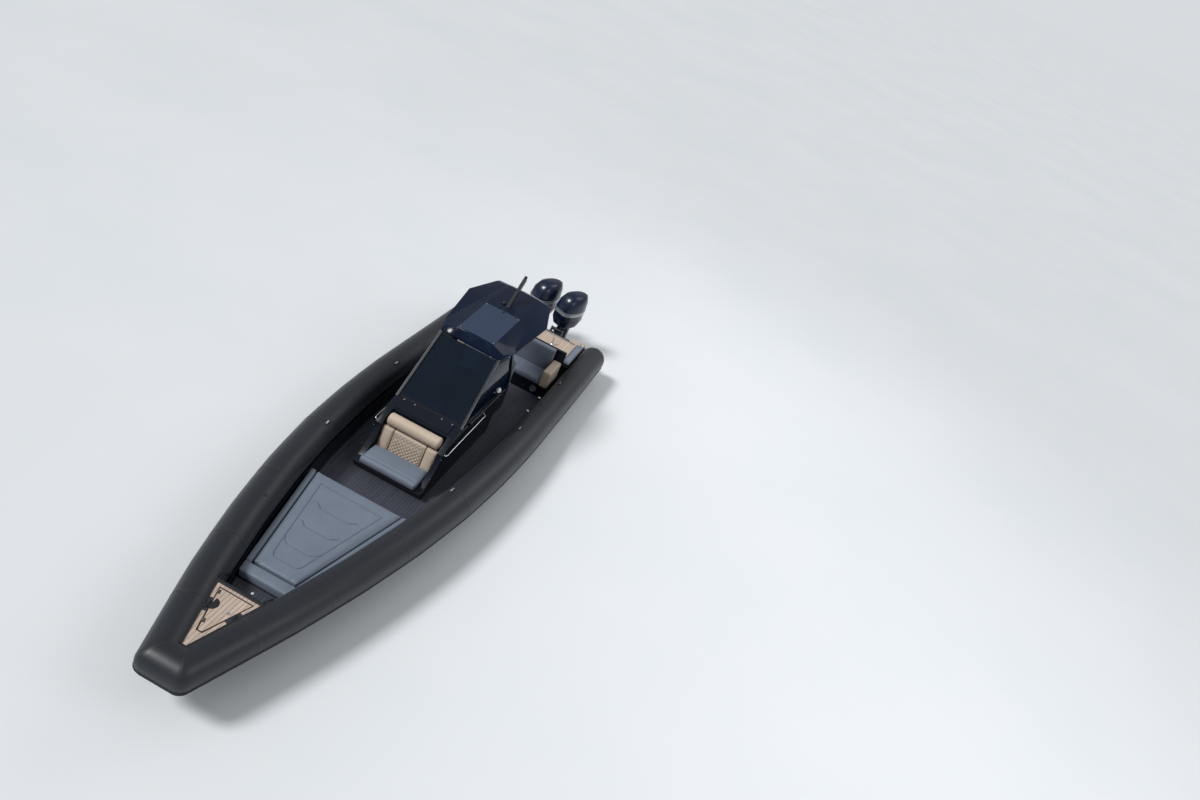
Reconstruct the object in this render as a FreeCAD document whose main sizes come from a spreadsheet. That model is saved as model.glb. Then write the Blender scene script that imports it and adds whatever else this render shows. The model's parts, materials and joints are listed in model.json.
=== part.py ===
import FreeCAD, Part
import math
import os
import re
import Sketcher
from FreeCAD import Rotation, Vector

# A large open inflatable rib boat with a centre console, hardtop and twin outboards.
# Millimetres. +X is forward, +Y is to port, +Z is up. The origin is amidships on the waterline.

doc = FreeCAD.newDocument("RibBoat")

# Driving sizes: name, millimetres or degrees, what it measures.
SIZES = [
    ("deck_height", 200, "cockpit deck above the waterline"),
    ("hull_draft", 600, "keel below the waterline"),
    ("transom_x", -6390, "aft face of the transom"),
    ("transom_wall", 60, "thickness of the transom wall"),
    ("transom_top", 500, "top of the transom above the waterline"),
    ("chine_flat", 50, "width of the flat along each chine"),
    ("rail_width", 60, "width of a spray rail"),
    ("rail_depth", 26, "depth of a spray rail"),
    ("tube_radius", 287, "radius of the inflatable tubes amidships"),
    ("tube_tip_x", -5980, "where the round ends of the tubes begin"),
    ("tube_stern_y", 1505, "centre line of the tubes off the centre line, at the stern"),
    ("bow_corner_x", 6130, "mitred corner of the bow tube"),
    ("bow_corner_y", 180, "half length of the bow tube at its centre line"),
    ("seat_gap", 0.3, "clearance where a round face is seated"),
    ("bulwark_inset", 30, "bulwark inboard of the tubes"),
    ("handhold_length", 190, "length of a tube handhold"),
    ("handhold_width", 80, "width of a tube handhold"),
    ("handhold_thick", 18, "thickness of a tube handhold"),
    ("handhold_angle", 118, "place of the handholds round the tube, in degrees"),
    ("strake_width", 90, "height of the rubbing strake"),
    ("strake_thick", 18, "thickness of the rubbing strake"),
    ("strake_angle", -24, "place of the rubbing strake round the tube"),
    ("planking", 8, "thickness of the deck planking"),
    ("planking_gap", 12, "planking clear of the bulwark"),
    ("foredeck_top", 930, "top of the foredeck moulding"),
    ("foredeck_bottom", 673, "underside of the foredeck moulding"),
    ("foredeck_aft_x", 4812, "aft face of the foredeck"),
    ("foredeck_fore_x", 6040, "fore end of the foredeck"),
    ("foredeck_aft_half", 470, "half breadth of the foredeck, aft"),
    ("foredeck_fore_half", 90, "half breadth of the foredeck, fore"),
    ("foredeck_edge", 55, "dark edge left round the foredeck planking"),
    ("locker_aft_x", 4930, "aft edge of the bow locker lid"),
    ("locker_fore_x", 5640, "fore edge of the bow locker lid"),
    ("locker_aft_half", 262, "half breadth of the bow locker lid, aft"),
    ("locker_fore_half", 36, "half breadth of the bow locker lid, fore"),
    ("locker_ledge", 18, "ledge that the bow locker lid rests on"),
    ("locker_floor", 400, "floor of the bow locker"),
    ("locker_gap", 13, "gap round the bow locker lid, wide enough for it to turn on its slanting hinge"),
    ("locker_board", 12, "thickness of the bow locker lid below its planking"),
    ("hinge_leaf", 34, "breadth of a hinge leaf"),
    ("lid_gap", 6, "gap round a lid"),
    ("lid_board", 25, "thickness of a lid below its planking"),
    ("knuckle_radius", 7, "radius of a hinge knuckle"),
    ("knuckle_length", 60, "length of a hinge knuckle"),
    ("knuckle_bite", 2, "how far a knuckle reaches into its lid"),
    ("cleat_x", 5240, "place of the bow cleats"),
    ("cleat_y", 205, "bow cleats off the centre line"),
    ("cleat_length", 140, "length of a cleat"),
    ("cleat_width", 36, "width of a cleat"),
    ("cleat_height", 20, "height of a cleat"),
    ("step_top", 500, "top of the bow step"),
    ("step_gap", 8, "gap round the bow step"),
    ("sunpad_fore_x", 4290, "fore edge of the sunpad"),
    ("sunpad_aft_x", 1800, "aft edge of the sunpad"),
    ("sunpad_fore_half", 424, "half breadth of the sunpad, fore"),
    ("sunpad_aft_half", 925, "half breadth of the sunpad, aft"),
    ("sunpad_base_top", 500, "top of the sunpad base"),
    ("sunpad_top", 650, "top of the sunpad cushions"),
    ("sunpad_lid_fore_x", 4040, "fore edge of the sunpad lid"),
    ("sunpad_lid_fore_half", 366, "half breadth of the sunpad lid, fore"),
    ("sunpad_lid_aft_half", 815, "half breadth of the sunpad lid, aft"),
    ("sunpad_rim", 45, "rim of the base that the sunpad lid rests on"),
    ("sunpad_floor", 260, "floor of the sunpad locker"),
    ("console_half", 690, "half breadth of the console"),
    ("console_fore_x", 760, "foot of the console, fore"),
    ("seat_fore_x", 880, "fore edge of the front seat base"),
    ("seat_base_top", 400, "top of the front seat base"),
    ("seat_top", 540, "top of the front seat cushion"),
    ("seat_overhang", 20, "front seat cushion over its base"),
    ("seat_half", 560, "half breadth of the front seat"),
    ("back_foot_x", 250, "foot of the front backrest, at its wall"),
    ("back_head_x", 140, "head of the front backrest, at its wall"),
    ("back_thick", 105, "thickness of the front backrest"),
    ("back_top", 885, "top of the front backrest"),
    ("back_panel_half", 330, "half breadth of the quilted back panel"),
    ("roll_x", 130, "centre of the headrest roll"),
    ("roll_radius", 120, "radius of the headrest roll"),
    ("roll_half", 540, "half length of the headrest roll"),
    ("shoulder_x", -2, "fore edge of the console top"),
    ("shoulder_z", 1130, "console top at its fore edge"),
    ("cheek_foot_x", 700, "foot of the console's cheeks beside the front seat"),
    ("cheek_fore_x", 360, "fore edge of the cheeks' slanted end"),
    ("cheek_low_z", 720, "lower edge of the cheeks' slanted end"),
    ("cheek_top_x", 300, "fore end of the cheeks' top"),
    ("cheek_top_z", 930, "height of the cheeks' top at its fore end"),
    ("screen_foot_x", -340, "foot of the windscreen"),
    ("screen_foot_z", 1240, "foot of the windscreen above the waterline"),
    ("screen_foot_half", 667, "half breadth of the windscreen at its foot"),
    ("screen_head_x", -1385, "head of the windscreen"),
    ("screen_head_z", 2180, "head of the windscreen above the waterline"),
    ("screen_head_half", 610, "half breadth of the windscreen at its head"),
    ("glass_thick", 8, "thickness of the glass"),
    ("dash_x", -1700, "aft edge of the dash top"),
    ("dash_z", 1300, "top of the dash"),
    ("helm_x", -1850, "helm panel, at its foot"),
    ("helm_z", 1050, "foot of the sloping helm panel"),
    ("console_wall", 30, "wall of the console"),
    ("wing_aft_x", -2080, "aft end of the console's side wings"),
    ("wing_top", 1150, "top of the console's side wings"),
    ("wing_rake", 90, "how far forward the foot of a side wing lies"),
    ("hatch_fore_x", -28, "fore edge of the console hatch"),
    ("hatch_aft_x", -262, "aft edge of the console hatch"),
    ("hatch_half", 540, "half breadth of the console hatch"),
    ("hatch_thick", 22, "thickness of the console hatch"),
    ("hatch_floor", 700, "floor of the locker under the console hatch"),
    ("frame_width", 44, "width of a hardtop frame member"),
    ("frame_depth", 70, "depth of a hardtop frame member"),
    ("roof_thick", 95, "thickness of the hardtop at its middle"),
    ("roof_edge", 42, "thickness of the hardtop at its edge"),
    ("roof_lip", 8, "how far the hardtop's underside lies inboard of its edge"),
    ("panel_fore_x", -1530, "fore edge of the matt roof panel"),
    ("panel_aft_x", -2710, "aft edge of the matt roof panel"),
    ("panel_half", 381, "half breadth of the matt roof panel"),
    ("panel_thick", 5, "thickness of the matt roof panel"),
    ("mast_foot_x", -2930, "foot of the mast"),
    ("mast_head_x", -3480, "head of the mast"),
    ("mast_head_z", 2880, "head of the mast above the waterline"),
    ("mast_width", 62, "width of the mast"),
    ("mast_depth", 90, "depth of the mast, fore and aft"),
    ("mast_light", 60, "height of the light on the mast"),
    ("wheel_x", -1985, "centre of the steering wheel"),
    ("wheel_y", 250, "steering wheel off the centre line"),
    ("wheel_z", 1235, "centre of the steering wheel above the waterline"),
    ("wheel_radius", 165, "radius of the steering wheel's rim"),
    ("wheel_rim", 15, "radius of the rim's own section"),
    ("wheel_rake", 30, "slope of the steering column in degrees"),
    ("wheel_hub", 36, "radius of the steering wheel's hub"),
    ("hub_back", 24, "hub behind the plane of the rim"),
    ("spoke_width", 30, "width of a wheel spoke"),
    ("spoke_thick", 10, "thickness of a wheel spoke"),
    ("column_radius", 26, "radius of the steering column"),
    ("column_length", 200, "length of the steering column"),
    ("display_width", 380, "width of the navigation display"),
    ("display_height", 230, "height of the navigation display"),
    ("display_thick", 20, "thickness of the navigation display"),
    ("throttle_y", -430, "starboard side of the throttle box"),
    ("throttle_length", 100, "length of the throttle box"),
    ("throttle_width", 70, "width of the throttle box"),
    ("throttle_height", 65, "height of the throttle box"),
    ("lever_radius", 11, "radius of the throttle lever"),
    ("lever_length", 120, "length of the throttle lever"),
    ("helm_seat_fore_x", -2480, "fore edge of the helm seats"),
    ("helm_seat_aft_x", -3020, "aft face of the helm seat backs"),
    ("helm_seat_base_top", 760, "top of the helm seat pod"),
    ("helm_seat_top", 880, "top of the helm seat cushions"),
    ("helm_seat_back_top", 1380, "top of the helm seat backs"),
    ("helm_seat_half", 560, "half breadth of the helm seat pair"),
    ("helm_seat_gap", 50, "gap between the two helm seats"),
    ("helm_back_thick", 128, "thickness of a helm seat back"),
    ("bench_fore_x", -3950, "fore face of the aft bench"),
    ("bench_seat_x", -4490, "where the aft bench's seat meets its back"),
    ("bench_back_x", -4610, "aft face of the aft bench's back cushion"),
    ("bench_wall", 70, "thickness of the wall behind the aft bench"),
    ("bench_base_top", 480, "top of the aft bench base"),
    ("bench_seat_top", 620, "top of the aft bench cushion"),
    ("bench_back_top", 1150, "top of the aft bench's back"),
    ("bench_rim", 20, "aft bench's back cushion above its wall"),
    ("bench_overhang", 15, "aft bench cushion over its base"),
    ("bench_clear", 48, "aft bench clear of the bulwark"),
    ("bolster_inset", 10, "aft bench bolsters inboard of the bench's ends"),
    ("bolster_width", 203, "breadth of an aft bench bolster"),
    ("cushion_gap", 5, "gap between neighbouring cushions"),
    ("bolster_top", 890, "top of the aft bench bolsters"),
    ("aft_deck_top", 792, "top of the aft deck moulding"),
    ("aft_deck_x", -5800, "aft edge of the aft deck, clear of the tilted cowls"),
    ("aft_deck_clear", 108, "aft deck's box clear of the bulwark"),
    ("aft_flange", 52, "thickness of the aft deck's side flanges"),
    ("aft_flange_over", 37, "aft deck's side flanges out over the tubes' inner faces"),
    ("side_pad_width", 161, "breadth of a ribbed side pad"),
    ("side_pad_inset", 6, "side pads inboard of the flanges' edges"),
    ("side_pad_top", 842, "top of the ribbed side pads"),
    ("side_pad_set", 60, "side pads aft of the bench's wall"),
    ("platform_top", 592, "top of the swim platforms' boxes"),
    ("platform_inner", 790, "inboard face of the swim platforms"),
    ("platform_clear", 18, "swim platforms clear of the bulwark"),
    ("engine_y", 350, "outboards off the centre line"),
    ("rest_steer", 26, "outboards' steering angle as they stand, in degrees"),
    ("tilt_x", -110, "tilt axis aft of the transom"),
    ("tilt_z", 40, "tilt axis above the transom top"),
    ("steer_x", -210, "steering axis aft of the transom"),
    ("clamp_half", 155, "half breadth of a transom bracket"),
    ("clamp_wall", 30, "thickness of a transom bracket's ears"),
    ("clamp_drop", 400, "transom bracket below the transom top"),
    ("clamp_reach", 165, "transom bracket's ears aft of the transom"),
    ("boss_radius", 48, "radius of the bosses round the tilt tube"),
    ("tilt_tube", 22, "radius of the tilt tube"),
    ("swivel_radius", 60, "radius of the swivel tube"),
    ("swivel_drop", 380, "swivel tube below the transom top"),
    ("swivel_top", 60, "swivel tube above the transom top"),
    ("steer_pin", 24, "radius of the steering pin in the swivel tube"),
    ("yoke_radius", 50, "radius of the leg's upper yoke round the steering axis"),
    ("yoke_reach", 150, "reach of the leg's yokes aft of the steering axis"),
    ("yoke_thick", 40, "thickness of the leg's yokes"),
    ("joint_gap", 6, "running clearance of the outboards' pieces"),
    ("leg_length", 889, "transom top to the outboard's plate"),
    ("shaft_drop", 230, "propeller shaft below the outboard's plate"),
    ("skeg_drop", 470, "skeg below the outboard's plate"),
    ("gearcase_radius", 62, "radius of the gearcase"),
    ("gearcase_aft_x", -600, "aft face of the gearcase behind the transom"),
    ("gearcase_length", 460, "length of the gearcase with its nose"),
    ("gearcase_nose", 130, "length of the gearcase's nose"),
    ("plate_length", 460, "length of the plate above the propeller"),
    ("plate_width", 260, "width of the plate above the propeller"),
    ("plate_thick", 8, "thickness of the plate above the propeller"),
    ("plate_aft", 90, "plate above the propeller, aft of the gearcase"),
    ("cowl_foot", 180, "foot of the cowl above the transom top"),
    ("cowl_half", 272, "half breadth of the cowl"),
    ("propeller_radius", 195, "radius of the propeller"),
    ("hub_radius", 50, "radius of the propeller's hub"),
    ("hub_length", 150, "length of the propeller's hub"),
    ("shaft_radius", 16, "radius of the propeller shaft"),
    ("shaft_length", 105, "length of the propeller shaft"),
    ("eye_radius", 45, "radius of a towing eye's plate"),
    ("eye_bore", 14, "radius of a towing eye's bore"),
    ("eye_thick", 16, "thickness of a towing eye's plate"),
    ("eye_stand", 22, "centre of a towing eye off the hull"),
    ("bow_eye_x", 5800, "place of the bow eye along the stem"),
    ("stern_eye_y", 980, "stern eyes off the centre line"),
    ("stern_eye_z", 380, "stern eyes above the waterline"),
]

sheet = doc.addObject("Spreadsheet::Sheet", "Sizes")
for row, (alias, value, note) in enumerate(SIZES, start=1):
    sheet.set("A%d" % row, alias)
    sheet.set("B%d" % row, str(value))
    sheet.set("C%d" % row, note)
    sheet.setAlias("B%d" % row, alias)
doc.recompute()
S = {alias: float(sheet.get(alias)) for alias, value, note in SIZES}

# Centre line of each side tube: x, y, z, how much smaller its radius is.
TUBE_PATH = [
    (S["bow_corner_x"], S["bow_corner_y"], 772, 35),
    (4670, 634, 772, 20),
    (3450, 946, 758, 9),
    (2220, 1199, 735, 2),
    (1000, 1380, 705, 0),
    (-230, 1486, 671, 0),
    (-1460, 1534, 637, 0),
    (-2680, 1531, 604, 0),
    (-3910, 1524, 573, 0),
    (S["tube_tip_x"], S["tube_stern_y"], 540, 0),
]

# Hull stations: x, keel z, chine y, chine z.
HULL_STATIONS = [
    (S["transom_x"], -S["hull_draft"], 1230, -85),
    (-3000, -S["hull_draft"], 1240, -80),
    (0, -S["hull_draft"], 1200, -40),
    (2500, -S["hull_draft"] + 40, 930, 60),
    (4300, -S["hull_draft"] + 220, 600, 240),
    (5400, 0, 330, 430),
    (6050, 430, 120, 560),
]
SHEER_IN = 60
SHEER_DROP = 100

# How far a spray rail reaches into the hull, and the transom wall into the bulwarks.
RAIL_BITE = 4
WALL_BITE = 5

# Spray rails: how far they lie from keel to chine.
SPRAY_RAILS = [0.42, 0.72]

# Half sections of the hardtop: x, z of its middle, y and z of the crown, crease and edge, share of its thickness.
ROOF_SECTIONS = [
    (-1400, 2204, (385, 2202), (585, 2196), (620, 2190), 0.28),
    (-1510, 2362, (385, 2350), (630, 2250), (665, 2222), 1.0),
    (-1760, 2378, (385, 2365), (725, 2262), (750, 2250), 1.0),
    (-2970, 2440, (385, 2428), (517, 2404), (890, 2392), 1.0),
    (-3730, 2474, (330, 2470), (370, 2460), (640, 2424), 1.0),
    (-3840, 2438, (300, 2434), (350, 2428), (610, 2412), 0.6),
]
ROOF_CROWN = 385

# Half outline of a cowl seen from above: share of its length from the front, share of its half breadth.
COWL_OUTLINE = [(0.0, 0.5), (0.06, 0.76), (0.2, 0.95), (0.4, 1.0), (0.62, 0.92), (0.85, 0.62), (1.0, 0.16)]

# Levels of a cowl: height above its foot, front x, aft x, share of its half breadth.
COWL_LEVELS = [
    (0, -70, -770, 0.84),
    (140, -10, -835, 0.97),
    (430, 0, -850, 1.0),
    (650, -60, -835, 0.93),
    (780, -170, -780, 0.74),
    (830, -300, -680, 0.46),
]

floor_z = S["deck_height"] + S["planking"]
lift = S["seat_gap"]
BIG = 20000.0
# How far a tube is made past its mitre before it is cut there.
PAST = 400.0
# How far up an upward cut reaches.
CUT_HEIGHT = 2000.0


def bind(formula):
    """Point each size that a formula names at its cell."""
    return re.sub(r"[a-z][a-z_]+", lambda word: "Sizes." + word.group(0), formula)


def mirrored_plan(loop):
    """The same loop on the other side of the centre line, for a plan view."""
    return [(x, "-(%s)" % y) for x, y in reversed(loop)]


def closed_plan(half):
    """A plan outline from the points of its port half, fore to aft."""
    return half + [(x, "-(%s)" % y) for x, y in reversed(half)]


def add_loop(sketch, loop):
    """A closed outline whose corners are bound to the sheet."""
    first = sketch.GeometryCount
    count = len(loop)
    around = [2 * math.pi * i / count for i in range(count)]
    starts = [Vector(500 * math.cos(a), 500 * math.sin(a), 0) for a in around]
    for i in range(count):
        sketch.addGeometry(Part.LineSegment(starts[i], starts[(i + 1) % count]), False)
    for i in range(count):
        sketch.addConstraint(Sketcher.Constraint("Coincident", first + i, 2, first + (i + 1) % count, 1))
    for i, (across, up) in enumerate(loop):
        for kind, formula, place in (("DistanceX", across, starts[i].x), ("DistanceY", up, starts[i].y)):
            number = sketch.addConstraint(Sketcher.Constraint(kind, -1, 1, first + i, 1, place))
            sketch.setExpression("Constraints[%d]" % number, bind(formula))


def prism(label, plane, loops, start, length, symmetric=False):
    """A body padded from outlines on the XY, XZ or YZ plane."""
    body = doc.addObject("PartDesign::Body", label)
    body.Label = label
    body.AllowCompound = True
    sketch = body.newObject("Sketcher::SketchObject", label + "_outline")
    role = plane + "_Plane"
    support = [f for f in body.Origin.OriginFeatures if f.Role == role][0]
    sketch.AttachmentSupport = [(support, "")]
    sketch.MapMode = "FlatFace"
    sketch.setExpression("AttachmentOffset.Base.z", bind(start))
    for loop in loops:
        add_loop(sketch, loop)
    pad = body.newObject("PartDesign::Pad", label + "_pad")
    pad.Profile = sketch
    pad.SideType = "Symmetric" if symmetric else "One side"
    pad.setExpression("Length", bind(length))
    body.Tip = pad
    return body


def pocket(body, plane, loops, start, length):
    """Cut outlines out of a body, from a level upwards or forwards."""
    name = body.Label + "_cut%d" % len(body.Group)
    sketch = body.newObject("Sketcher::SketchObject", name + "_outline")
    support = [f for f in body.Origin.OriginFeatures if f.Role == plane + "_Plane"][0]
    sketch.AttachmentSupport = [(support, "")]
    sketch.MapMode = "FlatFace"
    sketch.setExpression("AttachmentOffset.Base.z", bind(start))
    for loop in loops:
        add_loop(sketch, loop)
    cut = body.newObject("PartDesign::Pocket", name)
    cut.Profile = sketch
    cut.Reversed = True
    cut.setExpression("Length", bind(length))
    body.Tip = cut
    return cut


def knuckle(body, across, up, half):
    """A round hinge knuckle across the boat, joined to a body."""
    sketch = body.newObject("Sketcher::SketchObject", body.Label + "_knuckle_outline")
    support = [f for f in body.Origin.OriginFeatures if f.Role == "XZ_Plane"][0]
    sketch.AttachmentSupport = [(support, "")]
    sketch.MapMode = "FlatFace"
    sketch.addGeometry(Part.Circle(Vector(100, 100, 0), Vector(0, 0, 1), 5), False)
    for kind, formula, now in (("DistanceX", across, 100), ("DistanceY", up, 100)):
        number = sketch.addConstraint(Sketcher.Constraint(kind, -1, 1, 0, 3, now))
        sketch.setExpression("Constraints[%d]" % number, bind(formula))
    number = sketch.addConstraint(Sketcher.Constraint("Radius", 0, 5))
    sketch.setExpression("Constraints[%d]" % number, bind("knuckle_radius"))
    pad = body.newObject("PartDesign::Pad", body.Label + "_knuckle")
    pad.Profile = sketch
    pad.SideType = "Symmetric"
    pad.setExpression("Length", bind("2 * (%s)" % half))
    body.Tip = pad


def feature(label, shape):
    """A piece whose shape is made by Part's own functions."""
    item = doc.addObject("Part::Feature", label)
    item.Label = label
    item.Shape = shape
    return item


def polygon(points):
    """A closed wire through points."""
    corners = [Vector(*p) for p in points]
    return Part.makePolygon(corners + corners[:1])


def ruled(sections):
    """A solid through sections with the same number of corners."""
    return Part.makeLoft([polygon(s) for s in sections], True, True)


def flip(shape):
    """The starboard twin of a port shape."""
    return shape.mirror(Vector(0, 0, 0), Vector(0, 1, 0))


def both_sides(shape):
    """A port shape and its starboard twin in one piece."""
    return Part.makeCompound([shape, flip(shape)])


def largest(shape):
    """The largest solid of a shape."""
    return max(shape.Solids, key=lambda solid: solid.Volume)


def half_space(point, normal):
    """A block that fills the side of a plane that its normal points to."""
    block = Part.makeBox(BIG, BIG, BIG, Vector(-BIG / 2, -BIG / 2, 0))
    block.Placement = FreeCAD.Placement(Vector(*point), Rotation(Vector(0, 0, 1), Vector(*normal)))
    return block


def bar(points, width, depth):
    """A rectangular bar along points, with its width across the boat."""
    sections = []
    for i, point in enumerate(points):
        before = points[max(i - 1, 0)]
        after = points[min(i + 1, len(points) - 1)]
        along = (Vector(*after) - Vector(*before)).normalize()
        side = Vector(0, 1, 0) - along * along.y
        side.normalize()
        rise = along.cross(side)
        centre = Vector(*point)
        section = []
        for a, b in ((-1, -1), (1, -1), (1, 1), (-1, 1)):
            section.append(tuple(centre + side * (a * width / 2) + rise * (b * depth / 2)))
        sections.append(section)
    return ruled(sections)


def between(table, x, column):
    """A column of a table whose x falls from row to row or rises, read between its rows."""
    rows = sorted(table)
    if x <= rows[0][0]:
        return rows[0][column]
    for low, high in zip(rows, rows[1:]):
        if x <= high[0]:
            share = (x - low[0]) / (high[0] - low[0])
            return low[column] + share * (high[column] - low[column])
    return rows[-1][column]


def tube_y(x):
    return between(TUBE_PATH, x, 1)


def tube_z(x):
    return between(TUBE_PATH, x, 2)


def tube_r(x):
    return S["tube_radius"] - between(TUBE_PATH, x, 3)


def cockpit_half(x):
    """Half breadth between the bulwarks."""
    return tube_y(x) - tube_r(x) - S["bulwark_inset"]


# Tubes

def side_tube(grow):
    """The port tube, larger by a clearance, to the mitre at the bow."""
    start = TUBE_PATH[0]
    second = TUBE_PATH[1]
    slope = (start[1] - second[1]) / (start[0] - second[0])
    path = [(start[0] + PAST, start[1] + slope * PAST, start[2], start[3])] + TUBE_PATH
    wires = []
    for i, (x, y, z, taper) in enumerate(path):
        before = path[max(i - 1, 0)]
        after = path[min(i + 1, len(path) - 1)]
        along = Vector(before[0] - after[0], before[1] - after[1], before[2] - after[2])
        heading = math.degrees(math.atan2(along.y, along.x))
        circle = Part.makeCircle(S["tube_radius"] - taper + grow, Vector(0, 0, 0), Vector(1, 0, 0))
        circle.rotate(Vector(0, 0, 0), Vector(0, 0, 1), heading)
        circle.translate(Vector(x, y, z))
        wires.append(Part.Wire(circle))
    tube = Part.makeLoft(wires, True, True)
    tip = path[-1]
    ahead = path[-2]
    forward = Vector(ahead[0] - tip[0], ahead[1] - tip[1], 0)
    dome = Part.makeSphere(S["tube_radius"] + grow, Vector(*tip[:3]), forward, -90, 0, 360)
    tube = tube.fuse(dome).common(half_space(start[:3], mitre_normal()))
    return tube.common(half_space((0, -grow, 0), (0, 1, 0)))


def mitre_normal():
    """Normal of the port mitre at the bow, pointing to the side tube."""
    start = Vector(*TUBE_PATH[0][:3])
    aft = (Vector(*TUBE_PATH[1][:3]) - start).normalize()
    return tuple((aft - Vector(0, -1, 0)).normalize())


def bow_tube(grow):
    """The short tube across the bow."""
    x, y, z, taper = TUBE_PATH[0]
    reach = y + PAST
    tube = Part.makeCylinder(S["tube_radius"] - taper + grow, 2 * reach, Vector(x, -reach, z), Vector(0, 1, 0))
    return between_mitres(tube)


def between_mitres(shape):
    """What lies between the two mitres at the bow."""
    x, y, z, taper = TUBE_PATH[0]
    nx, ny, nz = mitre_normal()
    return shape.cut(half_space((x, y, z), (nx, ny, nz))).cut(half_space((x, -y, z), (nx, -ny, nz)))


port_tube = side_tube(0)
feature("tube_port", port_tube)
feature("tube_starboard", flip(port_tube))
feature("tube_bow", bow_tube(0))
tube_room = [side_tube(S["seat_gap"]), flip(side_tube(S["seat_gap"])), bow_tube(S["seat_gap"])]


# Rubbing strakes

def strake_section(x, y, z, radius, heading):
    """A strip standing off the tube's outer face."""
    angle = math.radians(S["strake_angle"])
    spread = S["strake_width"] / 2 / radius
    section = []
    inner = radius + S["seat_gap"]
    for r, a in ((inner, angle - spread), (inner, angle + spread),
                 (inner + S["strake_thick"], angle + spread), (inner + S["strake_thick"], angle - spread)):
        out = r * math.cos(a)
        section.append((x - out * math.sin(heading), y + out * math.cos(heading), z + r * math.sin(a)))
    return section


def side_strake():
    """The port strake, to the mitre at the bow."""
    x, y, z, taper = TUBE_PATH[0]
    slope = (y - TUBE_PATH[1][1]) / (x - TUBE_PATH[1][0])
    path = [(x + PAST, y + slope * PAST, z, taper)] + TUBE_PATH
    sections = []
    for i, (x, y, z, taper) in enumerate(path):
        before = path[max(i - 1, 0)]
        after = path[min(i + 1, len(path) - 1)]
        heading = math.atan2(before[1] - after[1], before[0] - after[0])
        sections.append(strake_section(x, y, z, S["tube_radius"] - taper, heading))
    return ruled(sections).common(half_space(TUBE_PATH[0][:3], mitre_normal()))


def bow_strake():
    """The strake across the bow, between the mitres."""
    x, y, z, taper = TUBE_PATH[0]
    section = strake_section(x, y + PAST, z, S["tube_radius"] - taper, -math.pi / 2)
    strip = Part.Face(polygon(section)).extrude(Vector(0, -2 * (y + PAST), 0))
    return between_mitres(strip)


strake = bow_strake().fuse([side_strake(), flip(side_strake())])
for tube in (port_tube, flip(port_tube), bow_tube(0)):
    strake = strake.cut(tube)
feature("rubbing_strakes", largest(strake.removeSplitter()))


# Hull and deck moulding

def hull_section(x, keel_z, chine_y, chine_z):
    sheer_y = tube_y(x) - SHEER_IN
    sheer_z = tube_z(x) - SHEER_DROP
    half = [(chine_y, chine_z), (chine_y + S["chine_flat"], chine_z), (sheer_y, sheer_z)]
    port = [(x, y, z) for y, z in half]
    starboard = [(x, -y, z) for y, z in reversed(half)]
    return [(x, 0, keel_z)] + port + starboard


outer = ruled([hull_section(*station) for station in HULL_STATIONS])

rails = []
for share in SPRAY_RAILS:
    sections = []
    for x, keel_z, chine_y, chine_z in HULL_STATIONS[:-1]:
        y = share * chine_y
        z = keel_z + share * (chine_z - keel_z)
        slope = (chine_z - keel_z) / chine_y
        inner_y = y - S["rail_width"]
        sections.append([(x, inner_y, z - slope * S["rail_width"] + RAIL_BITE),
                         (x, y, z - S["rail_depth"]), (x, y, z + RAIL_BITE)])
    rail = ruled(sections)
    rails += [rail, flip(rail)]

deck_z = S["deck_height"]
above_deck = half_space((0, 0, deck_z), (0, 0, 1))
hull = outer.cut(above_deck).fuse(rails)
hull = hull.cut(above_deck)
feature("hull", hull.removeSplitter())

cockpit_ends = [(S["foredeck_aft_x"], cockpit_half(S["foredeck_aft_x"]))]
for x, y, z, taper in TUBE_PATH[1:]:
    if x < S["foredeck_aft_x"]:
        cockpit_ends.append((x, cockpit_half(x)))
cockpit_ends.append((S["transom_x"] + S["transom_wall"], cockpit_half(S["transom_x"])))
cockpit_plan = [(x, y, deck_z) for x, y in cockpit_ends] + [(x, -y, deck_z) for x, y in reversed(cockpit_ends)]
cockpit = Part.Face(polygon(cockpit_plan)).extrude(Vector(0, 0, CUT_HEIGHT))

moulding = outer.common(above_deck)
wall_half = cockpit_half(S["transom_x"]) + WALL_BITE
wall = Part.makeBox(S["transom_wall"], 2 * wall_half, S["transom_top"] - deck_z,
                    Vector(S["transom_x"], -wall_half, deck_z))
moulding = moulding.cut(cockpit).fuse(wall)


def locker_plan(grow, z, height):
    """The bow locker's three-sided outline as a block."""
    fore = S["locker_fore_half"] + grow
    aft = S["locker_aft_half"] + grow
    plan = [(S["locker_fore_x"] + grow, fore, z), (S["locker_aft_x"] - grow, aft, z),
            (S["locker_aft_x"] - grow, -aft, z), (S["locker_fore_x"] + grow, -fore, z)]
    return Part.Face(polygon(plan)).extrude(Vector(0, 0, height))


locker_well = locker_plan(-S["locker_ledge"], S["locker_floor"], CUT_HEIGHT)
moulding = moulding.cut(locker_well)
for room in tube_room:
    moulding = moulding.cut(room)
feature("deck_moulding", moulding.removeSplitter())

panel_fore = S["foredeck_aft_x"] - S["lid_gap"]
planking_ends = [(panel_fore, cockpit_half(panel_fore) - S["planking_gap"])]
for x, y in cockpit_ends[1:]:
    if x > S["bench_fore_x"]:
        planking_ends.append((x, y - S["planking_gap"]))
planking_aft = S["bench_fore_x"] + lift
planking_ends.append((planking_aft, cockpit_half(planking_aft) - S["planking_gap"]))
plan = [(x, y, deck_z) for x, y in planking_ends] + [(x, -y, deck_z) for x, y in reversed(planking_ends)]
feature("cockpit_planking", Part.Face(polygon(plan)).extrude(Vector(0, 0, S["planking"])))


# Foredeck and bow locker

# Shares of the inset at the foredeck's fore and aft ends.
INSET_FORE = 1.4
INSET_AFT = 0.6

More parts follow.
